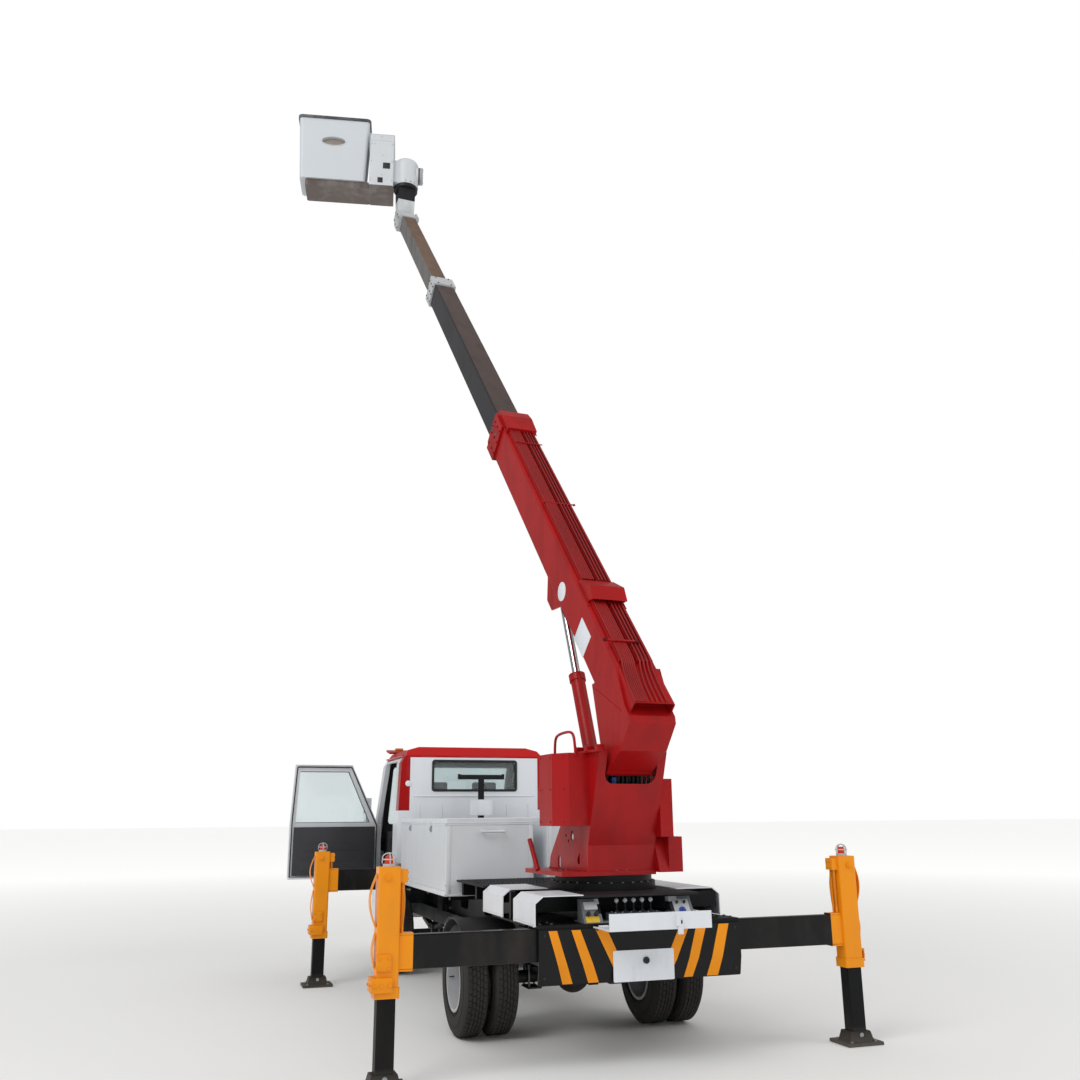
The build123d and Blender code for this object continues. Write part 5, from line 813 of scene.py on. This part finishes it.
# Bucket carrier: the side box's lid line and knobs, bolts, rivets and dark hatches
add_block(BASKET, (-0.564, -0.224, 11.716), (-0.186, 0.344, 11.724), 0.003)
add_block(BASKET, (-0.565, -0.225, 11.82), (-0.185, 0.345, 11.833), 0.005)
at_each(add_drum, BASKET, (-0.5, -0.375, -0.25), -0.222, 11.775, Y, 0.007, 0.008, 12, 0.001)
finish("side_box_lid_line", carrier_enamel, "bucket")

for place in circle((0, 0, 11.062), 0.1895, 16, X, Y):
    if place.x > -0.16:
        add_bolt(BASKET, place, (place.x, place.y, 0), 0.008)
for place in circle((0.26, 0, 11.273), 0.105, 8, Y, Z):
    add_bolt(BASKET, place, X, 0.008)
at_each(add_bolt, BASKET, (-0.535, -0.215), -0.22, (11.02, 11.35, 11.66), BACK, 0.006)
for x, z in ((-0.48, 11.657), (-0.387, 11.787), (-0.363, 11.458), (-0.368, 11.112)):
    add_drum(BASKET, (x, -0.221, z), Y, 0.008, 0.006, 16, 0.001)
finish("carrier_bolts", zinc_plate, "bucket")
for x, z, wide, tall in ((-0.3, 11.276, 0.11, 0.104), (-0.39, 11.018, 0.079, 0.09)):
    add_block(BASKET, (x - wide / 2, -0.2235, z - tall / 2), (x + wide / 2, -0.2185, z + tall / 2), 0.002)
finish("side_box_hatches", black_moulding, "bucket")

# Step pocket: a brown-grey disc on its back wall as painted shade inside the pocket, and the lip laid round
# its mouth
POCKET = BASKET @ Matrix.Translation((-1.123, 0, 11.68))
add_drum(POCKET @ Matrix.Diagonal((0.177, 1, 0.067, 1)), (0, -0.1285, 0), Y, 1, 0.0024, 48)
finish("pocket_back_shade", pocket_shade_paint, "bucket")
rim = circle((0, 0, 0), 1, 24, X, Z)
lay_hoses("pocket_lip", POCKET, [
    [(0.187 * spot.x, -0.1735 - 0.0031 * spot.z, 0.077 * spot.z) for spot in (*rim, rim[0])]
], 0.007, bucket_shell, "bucket")

# Lockers: seams round the rims and skirts, rivets, latches, and the strips along the lids
for outward in OUTWARD.values():
    for z, grow, tall in ((1.486, 0.004, 0.008), (1.002, 0.003, 0.006), (0.922, 0.004, 0.01)):
        add_block(outward, (0.064, 1.99 - grow, z), (0.833 + grow, 1.999, z + tall), 0.0015)
        add_block(outward, (0.824, 1.99 - grow, z), (0.833 + grow, 3.918, z + tall), 0.0015)
    for x in (0.09, 0.805):
        add_block(outward, (x - 0.014, 1.9865, 0.925), (x + 0.014, 1.995, 1.484), 0.0015)
finish("locker_seams", locker_enamel)

# radius, length, sides and rounding of a rivet's head
RIVET = (0.005, 0.006, 10, 0.001)
LATCHES = (2.55, 3.46)
for outward in OUTWARD.values():
    at_each(add_drum, outward, [0.1 + step * 0.087 for step in range(9)], 1.988, 0.962, Y, *RIVET)
    at_each(add_drum, outward, 0.835, [2.03 + step * 0.0925 for step in range(21)], 0.962, X, *RIVET)
finish("locker_rivets", zinc_plate)

for outward in OUTWARD.values():
    at_each(add_drum, outward, 0.842, LATCHES, 1.449, X, 0.017, 0.01, 24, 0.002)
    for y in LATCHES:
        add_block(outward, (0.832, y - 0.032, 1.425), (0.8385, y + 0.032, 1.478), 0.002)
        add_block(outward, (0.84, y - 0.005, 1.436), (0.853, y + 0.005, 1.462), 0.002)
finish("locker_latches", zinc_plate)

for hand, outward in OUTWARD.items():
    add_block(outward, (0.072, 1.9865, 1.5), (0.826, 1.993, 1.508), 0.0015)
    add_block(outward, (0.829, 1.998, 1.5), (0.8365, 3.912, 1.508), 0.0015)
    for y in LATCHES:
        add_block(outward, (0.828, y - 0.022, 1.502), (0.84, y + 0.022, 1.53), 0.002)
    finish(f"lid_strips_{hand}", locker_enamel, f"locker_lid_{hand}")

# Boom rest: rubber saddle pad and the bolts of its cross bar
add_block(TRUCK, (-0.212, 3.93, 1.964), (0.212, 3.96, 1.978), 0.004)
finish("boom_rest_pad", hose_rubber)
at_each(add_bolt, TRUCK, (-0.32, -0.24, 0.24, 0.32), 3.933, 0.668, BACK, 0.01)
finish("boom_rest_bolts", zinc_plate)

# Cab. Both doors' places are drawn closed, on the left. The left door's are turned open with it, and the
# right door's are mirrored.
DOOR_HINGE = (-0.838, 5.4225, 0)
OPEN_TURN = math.radians(-86)
LEFT_DOOR = (TRUCK @ Matrix.Translation(DOOR_HINGE) @ Matrix.Rotation(OPEN_TURN, 4, "Z")
             @ Matrix.Translation(DOOR_HINGE).inverted())
DOORS = {"left": LEFT_DOOR, "right": OUTWARD["left"]}
BELT, WALL_X, WALL_LEAN = 1.48, -0.828, 0.03 / 0.63


def side_wall(z, inset=0.0):
    """x of the cab's outer side at a height: upright to the belt and leaning in above it."""
    return WALL_X + max(0, z - BELT) * WALL_LEAN + inset


def rounded_loop(points, radius):
    """Closed route through an outline's corners, each eased by a radius, as (across, up)."""
    route = []
    for index, corner in enumerate(points):
        here = Vector(corner)
        for other in (points[index - 1], points[(index + 1) % len(points)]):
            toward = (Vector(other) - here).normalized() * radius
            route.append(tuple(here + toward))
            if other is points[index - 1]:
                route.append(corner)
    middle = (Vector(route[0]) + Vector(route[-1])) / 2
    return [tuple(middle), *route, tuple(middle)]


REAR_GLASS = ((-0.46, 1.825), (-0.46, 2.13), (0.46, 2.13), (0.46, 1.825))
REAR_SEAL = [(x, 4.189, z) for x, z in rounded_loop(REAR_GLASS, 0.045)]
lay_hoses("rear_window_seal", TRUCK, [REAR_SEAL], 0.013, hose_rubber, detail=3)
SCREEN_FOOT, SCREEN_HEAD = (5.59, 1.42), (5.24, 2.2)
SCREEN_LEAN = 0.45


def on_screen(x, z, out=0.0):
    """A place on the windscreen, or a distance out from it."""
    share = (z - SCREEN_FOOT[1]) / (SCREEN_HEAD[1] - SCREEN_FOOT[1])
    return (x, SCREEN_FOOT[0] + (SCREEN_HEAD[0] - SCREEN_FOOT[0]) * share + out, z + out * SCREEN_LEAN)


SCREEN = ((-0.69, 1.47), (-0.69, 2.12), (0.69, 2.12), (0.69, 1.47))
SCREEN_SEAL = [on_screen(x, z) for x, z in rounded_loop(SCREEN, 0.06)]
lay_hoses("windscreen_seal", TRUCK, [SCREEN_SEAL], 0.012, hose_rubber, detail=3)

PANE = ((4.5, 1.5), (4.52, 2.06), (5.075, 2.06), (5.34, 1.5))
DOOR_EDGE = ((4.455, 0.925), (4.455, 1.47), (4.485, 2.105), (5.095, 2.105), (5.405, 1.47), (5.405, 0.925))
DOOR_LINER = ((4.475, 0.945), (4.475, 1.455), (5.385, 1.455), (5.385, 0.945))
ARM_REST = ((4.62, 1.2), (4.6, 1.26), (5.18, 1.28), (5.2, 1.2))
for hand, door in DOORS.items():
    body = f"door_{hand}"
    lay_hoses(f"door_seals_{hand}", door, [
        [(side_wall(z), y, z) for y, z in rounded_loop(PANE, 0.03)],
        [(side_wall(z, 0.07 if z > BELT else 0.09), y, z) for y, z in rounded_loop(DOOR_EDGE, 0.03)],
    ], 0.007, hose_rubber, body)

    add_plate(door, 0, DOOR_LINER, -0.733, -0.7275, 0.002)
    add_plate(door, 0, ARM_REST, -0.735, -0.7235, 0.002)
    add_block(door, (-0.735, 4.56, 0.99), (-0.7235, 5.18, 1.09), 0.006)
    add_ring(door, (-0.7285, 5.27, 1.04), X, (
        (0.05, -0.002), (0.062, -0.002), (0.062, 0.003), (0.05, 0.004)), 32)
    finish(f"door_trim_{hand}", cab_trim, body)

    add_block(door, (-0.836, 4.52, 1.345), (-0.826, 4.68, 1.405), 0.004)
    add_block(door, (-0.852, 4.53, 1.376), (-0.834, 4.67, 1.398), 0.006)
    add_drum(door, (-0.838, 4.545, 1.357), X, 0.009, 0.008, 16, 0.001)
    finish(f"door_handle_{hand}", black_moulding, body)

    add_block(door, (-1.018, 5.3115, 1.52), (-0.888, 5.3155, 1.76), 0.002)
    finish(f"mirror_glass_{hand}", mirror_glass, body)

# Cab rear wall: pressed swages and the band below the window, a round cap, and the side marker lamps
lay_hoses("cab_swages", TRUCK, [
    [(x, 4.1905, 1.16), (x, 4.188, 1.18), (x, 4.188, 1.66), (x, 4.1905, 1.68)]
    for x in (-0.6, -0.36, 0.36, 0.6)
] + [
    [(-0.66, 4.1905, 1.765), (-0.64, 4.188, 1.765), (0.64, 4.188, 1.765), (0.66, 4.1905, 1.765)],
], 0.007, cab_enamel)
add_drum(TRUCK, (-0.725, 4.186, 1.895), Y, 0.03, 0.014, 32, 0.004)
finish("cab_cap", white_enamel)
for outward in OUTWARD.values():
    add_block(outward, (0.824, 5.48, 1.01), (0.841, 5.55, 1.075), 0.006)
    add_block(outward, (0.64, 5.718, 0.905), (0.752, 5.728, 0.935), 0.004)
finish("marker_lamps", amber_plastic)

# Roof: gutter along each side and the marker lamps of the visor board
lay_hoses("roof_gutters", TRUCK, [
    [(x, y, 2.186) for y in (4.24, 4.7, 5.2)] for x in (-0.776, 0.776)
], 0.009, roof_enamel)
for x in (-0.62, 0, 0.62):
    add_block(TRUCK, (x - 0.045, 5.27, 2.298), (x + 0.045, 5.315, 2.326), 0.006)
finish("visor_lamps", amber_plastic)

# Wipers
WIPERS = (-0.6, 0.05)
at_each(add_drum, TRUCK, WIPERS, 5.605, 1.418, (0, 0.91, 0.41), 0.018, 0.02, 20, 0.003)
finish("wiper_pivots", black_moulding)
lay_hoses("wiper_arms", TRUCK, [
    route for x in WIPERS
    for route in (
        [(x, 5.612, 1.424), on_screen(x + 0.22, 1.47, 0.016), on_screen(x + 0.42, 1.505, 0.014)],
        [on_screen(x + 0.14, 1.485, 0.009), on_screen(x + 0.4, 1.507, 0.008),
         on_screen(x + 0.6, 1.525, 0.009)],
    )
], 0.006, black_moulding)

# Headlamp bowls, rims of the fog lamps, bumper slots
for side in (-1, 1):
    for x, radius in ((0.575, 0.056), (0.69, 0.05)):
        add_ring(TRUCK, (side * x, 5.7465, 0.8), Y, (
            (radius, -0.002), (radius + 0.006, -0.002), (radius + 0.006, 0.003), (radius, 0.003)), 40)
        add_ball(TRUCK, (side * x, 5.744, 0.8), radius * 0.55, (1, 0.18, 1), 10)
    add_ring(TRUCK, (side * 0.6, 5.8005, 0.52), Y, (
        (0.05, -0.003), (0.058, -0.003), (0.058, 0.004), (0.05, 0.004)), 32)
finish("lamp_bowls", mirror_glass, slot="grey_paint")
for z in (0.5, 0.53, 0.56):
    add_block(TRUCK, (-0.42, 5.7985, z), (0.42, 5.8035, z + 0.014), 0.002)
at_each(add_drum, TRUCK, (-0.6, 0.6), 5.8015, 0.52, Y, 0.049, 0.006, 32, 0.002)
finish("bumper_slots", black_moulding)

# Cab inside: seat covers and headrests, dash cowl, console, pedals and levers
for low, high in ((-0.685, -0.135), (-0.065, 0.325), (0.345, 0.685)):
    add_block(TRUCK, (low, 4.43, 1.296), (high, 4.85, 1.338), 0.016, 3)
    add_plate(TRUCK, 0, ((4.285, 1.775), (4.345, 1.78), (4.432, 1.335), (4.385, 1.33)), low, high, 0.012)
    middle = (low + high) / 2
    add_block(TRUCK, (middle - 0.13, 4.262, 1.762), (middle + 0.13, 4.34, 1.912), 0.022, 3)
finish("seat_covers", seat_cloth)
add_plate(TRUCK, 0, ((5.33, 1.398), (5.345, 1.47), (5.42, 1.478), (5.52, 1.392)), -0.56, -0.24, 0.008)
add_block(TRUCK, (-0.085, 5.27, 1.15), (0.125, 5.345, 1.33), 0.008)
PEDALS = (-0.52, -0.42, -0.3)
for x in PEDALS:
    add_block(TRUCK, (x - 0.035, 5.16, 0.952), (x + 0.035, 5.182, 1.03), 0.005)
finish("cab_controls", black_moulding, slot="cab_trim")
lay_hoses("cab_levers", TRUCK, [
    [(-0.02, 5.2, 0.935), (-0.02, 5.17, 1.12), (-0.03, 5.1, 1.3)],
    *[[(x, 5.172, 1.02), (x, 5.26, 1.1), (x, 5.33, 1.18)] for x in PEDALS],
], 0.009, black_moulding, slot="cab_trim")

# Wheels: tyres with ribs and cross cuts, nuts, hub caps and valves
AXLE_Z = 0.385
FRONT_AXLE, REAR_AXLE = 4.59, 1.24
TREAD_TOP = 0.3841
# The tread's blocks start this far out, inside the carcass
TREAD_ROOT = 0.372
# Gap between blocks, how far a block's ends slant, and the step round between neighbouring ribs
BLOCK_GAP, SLANT, STAGGER = 0.0056, 0.004, 0.33
# across the tread, low and high edge of each rib
RIBS = ((-0.066, -0.042), (-0.036, -0.013), (-0.007, 0.013), (0.019, 0.036), (0.042, 0.066))
# distance across and radius down the outer side, then mirrored for the inner
OUTER_SIDE = ((0.07, 0.3755), (0.084, 0.36), (0.09, 0.335), (0.0945, 0.3), (0.0945, 0.27), (0.089, 0.24),
              (0.08, 0.222), (0.08, 0.205))
CARCASS = [(-x, radius) for x, radius in reversed(OUTER_SIDE)] + list(OUTER_SIDE)
BLOCKS_ROUND = 54


def add_tyre(middle_x, distance):
    centre = (middle_x, distance, AXLE_Z)
    add_ring(TRUCK, centre, X, [(radius, x) for x, radius in CARCASS], 72)
    for side in (-1, 1):
        for radius in (0.318, 0.236):
            add_ring(TRUCK, centre, X, (
                (radius, side * 0.088), (radius + 0.006, side * 0.088),
                (radius + 0.004, side * 0.0955), (radius + 0.002, side * 0.0955)), 60)
    half = TREAD_TOP * math.pi / BLOCKS_ROUND - BLOCK_GAP / 2
    for step in range(BLOCKS_ROUND):
        for index, (low, high) in enumerate(RIBS):
            turn = math.tau * (step + STAGGER * (index % 3)) / BLOCKS_ROUND
            spoke = TRUCK @ Matrix.Translation(centre) @ Matrix.Rotation(turn, 4, "X")
            slant = SLANT if index % 2 else -SLANT
            corners = ((low, -half - slant), (high, -half + slant), (high, half + slant), (low, half - slant))
            add_plate(spoke, 2, corners, TREAD_ROOT, TREAD_TOP)


# node: where its tyres stand across, distance ahead, body
TYRES = {
    "tyre_front_{}": ((0.705,), FRONT_AXLE, "wheel_front_{}"),
    "tyres_rear_{}": ((0.625, 0.85), REAR_AXLE, "wheels_rear_{}"),
}
for node, (places, distance, body) in TYRES.items():
    for side, hand in HANDS:
        for x in places:
            add_tyre(side * x, distance)
        piece = finish("treaded_" + node.format(hand), tyre_rubber, body.format(hand))
        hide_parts(node.format(hand))

# body: distance ahead, disc face, hub end, rim edge, each x outward
HUBS = {
    "wheel_front_{}": (FRONT_AXLE, 0.747, 0.793, 0.793),
    "wheels_rear_{}": (REAR_AXLE, 0.7495, 0.8275, 0.938),
}
# standing off the disc, radius, length, sides and rounding of a nut's washer, the nut and its stud
NUT = ((0.002, 0.021, 0.004, 24, 0.001), (0.012, 0.0165, 0.02, 6, 0.002), (0.026, 0.009, 0.014, 16, 0.002))
for bodies, (distance, disc_x, hub_x, edge_x) in HUBS.items():
    for side, hand in HANDS:
        out = (side, 0, 0)
        body = bodies.format(hand)
        for place in circle((side * disc_x, distance, AXLE_Z), 0.087, 6, Y, Z):
            for off, *measures in NUT:
                add_drum(TRUCK, place + Vector(out) * off, X, *measures)
        for place in circle((side * hub_x, distance, AXLE_Z), 0.045, 8, Y, Z, 0.5):
            add_bolt(TRUCK, place, out, 0.0065)
        finish("wheel_nuts_" + body, dull_steel, body, "cast_metal")
        add_drum(TRUCK, (side * (hub_x + 0.008), distance, AXLE_Z), out, 0.034, 0.022, 32, 0.004, 0.028)
        finish("hub_cap_" + body, silver_enamel, body)
        lay_hoses("valve_" + body, TRUCK, [[
            (side * (edge_x - back), distance + ahead, AXLE_Z)
            for back, ahead in ((0.052, 0.192), (0.03, 0.184), (0.012, 0.176))
        ]], 0.0045, hose_rubber, body)

# Chassis: spring clamps, air and brake lines, silencer with its pipes, tank straps and filler
SPRING_X = 0.33
u_bolts = []
# axle line, height of the clamp's lower and upper plate
for line, low, high in ((REAR_AXLE, 0.318, 0.47), (FRONT_AXLE, 0.34, 0.462)):
    for middle in (-SPRING_X, SPRING_X):
        for y in (line - 0.062, line + 0.062):
            for x in (middle - 0.04, middle + 0.04):
                u_bolts.append([(x, y, z) for z in (low, (low + high) / 2, high + 0.012)])
            place = TRUCK @ Matrix.Translation((middle, y, high))
            add_block(place, (-0.05, -0.011, 0), (0.05, 0.011, 0.014), 0.003)
        seat = TRUCK @ Matrix.Translation((middle, line, low))
        add_block(seat, (-0.055, -0.085, -0.014), (0.055, 0.085, 0), 0.004)
finish("spring_plates", cast_iron)
lay_hoses("spring_clamps", TRUCK, u_bolts, 0.008, dull_steel, slot="cast_metal")
lay_hoses("chassis_lines", TRUCK, [
    [(x, 0.2, z), (x, 1.2, z), (x, 2.3, z - 0.006), (x, 3.3, z), (x, 4.1, z)]
    for x in (-0.345, 0.345) for z in (0.545, 0.563, 0.581)
], 0.006, hose_rubber)

add_drum(TRUCK, (-0.52, 2.68, 0.6), Y, 0.09, 0.56, 40, 0.02)
for y in (2.48, 2.88):
    add_ring(TRUCK, (-0.52, y, 0.6), Y, (
        (0.089, -0.012), (0.094, -0.012), (0.094, 0.012), (0.089, 0.012)), 40)
    add_block(TRUCK, (-0.44, y - 0.016, 0.57), (-0.356, y + 0.016, 0.63), 0.003)
finish("silencer", dull_steel, slot="black_paint")
lay_hoses("exhaust_pipes", TRUCK, [
    [(-0.2, 4.3, 0.52), (-0.24, 4.0, 0.455), (-0.44, 3.6, 0.455), (-0.52, 3.25, 0.56),
     (-0.52, 2.95, 0.6)],
    [(-0.52, 2.41, 0.6), (-0.5, 2.25, 0.59), (-0.47, 2.05, 0.5), (-0.56, 1.9, 0.44),
     (-0.72, 1.8, 0.42)],
], 0.026, dull_steel, slot="black_paint", detail=3)

for y in (2.44, 2.86):
    add_block(TRUCK, (0.358, y - 0.018, 0.797), (0.694, y + 0.018, 0.803), 0.002)
    add_block(TRUCK, (0.688, y - 0.018, 0.478), (0.694, y + 0.018, 0.803), 0.002)
    add_block(TRUCK, (0.358, y - 0.018, 0.477), (0.694, y + 0.018, 0.483), 0.002)
finish("tank_straps", dull_steel, slot="black_paint")
add_drum(TRUCK, (0.696, 2.65, 0.715), X, 0.04, 0.022, 32, 0.004)
finish("tank_cap", black_moulding)

# Floor, light and white surroundings
FLOOR_HALF, FLOOR_DROP = 200, 0.002
bmesh.ops.create_grid(mesh, x_segments=1, y_segments=1, size=FLOOR_HALF)
floor_data = bpy.data.meshes.new("floor")
mesh.to_mesh(floor_data)
floor = bpy.data.objects.new("floor", floor_data)
bpy.context.scene.collection.objects.link(floor)
floor.location.z = -FLOOR_DROP
PURE_WHITE = (1, 1, 1, 1)
floor_paint, tree, shader, where = new_material("pale_floor", {
    "Base Color": linear("#ececea"), "Roughness": 0.9, "Emission Color": PURE_WHITE})
# The floor brightens with distance from the truck, up to the white behind it
away = add_node(tree, "VectorMath", {"operation": "LENGTH"}, {0: where}).outputs["Value"]
tree.links.new(ranged(tree, away, 0.0, 0.34, 5.0, 22.0), shader.inputs["Emission Strength"])
floor_data.materials.append(floor_paint)

world = bpy.data.worlds.new("studio")
bpy.context.scene.world = world
world.use_nodes = True
tree = world.node_tree
background = tree.nodes["Background"]
path = add_node(tree, "LightPath").outputs
seen = combine(tree, "MAXIMUM", path["Is Camera Ray"], path["Is Transmission Ray"])
# Glossy reflections meet a dimmer sky, as they would among buildings
lit = ranged(tree, path["Is Glossy Ray"], 0.75, 0.3)
strength = add_node(tree, "MapRange", {"To Max": 1.0}, {"Value": seen, "To Min": lit}).outputs[0]
background.inputs["Color"].default_value = PURE_WHITE
tree.links.new(strength, background.inputs["Strength"])

# name: place, aim, size, watts
LAMPS = {
    "key_panel": ((-18, -14, 22), (0, 0, 4), 14, 2600),
    "fill_panel": ((22, -18, 16), (0, 0, 4), 14, 1100),
}
for name, (spot, aim, size, watts) in LAMPS.items():
    lamp = bpy.data.objects.new(name, bpy.data.lights.new(name, "AREA"))
    bpy.context.scene.collection.objects.link(lamp)
    lamp.data.size = size
    lamp.data.energy = watts
    lamp.location = spot
    lamp.rotation_euler = (Vector(aim) - Vector(spot)).to_track_quat("-Z", "Y").to_euler()
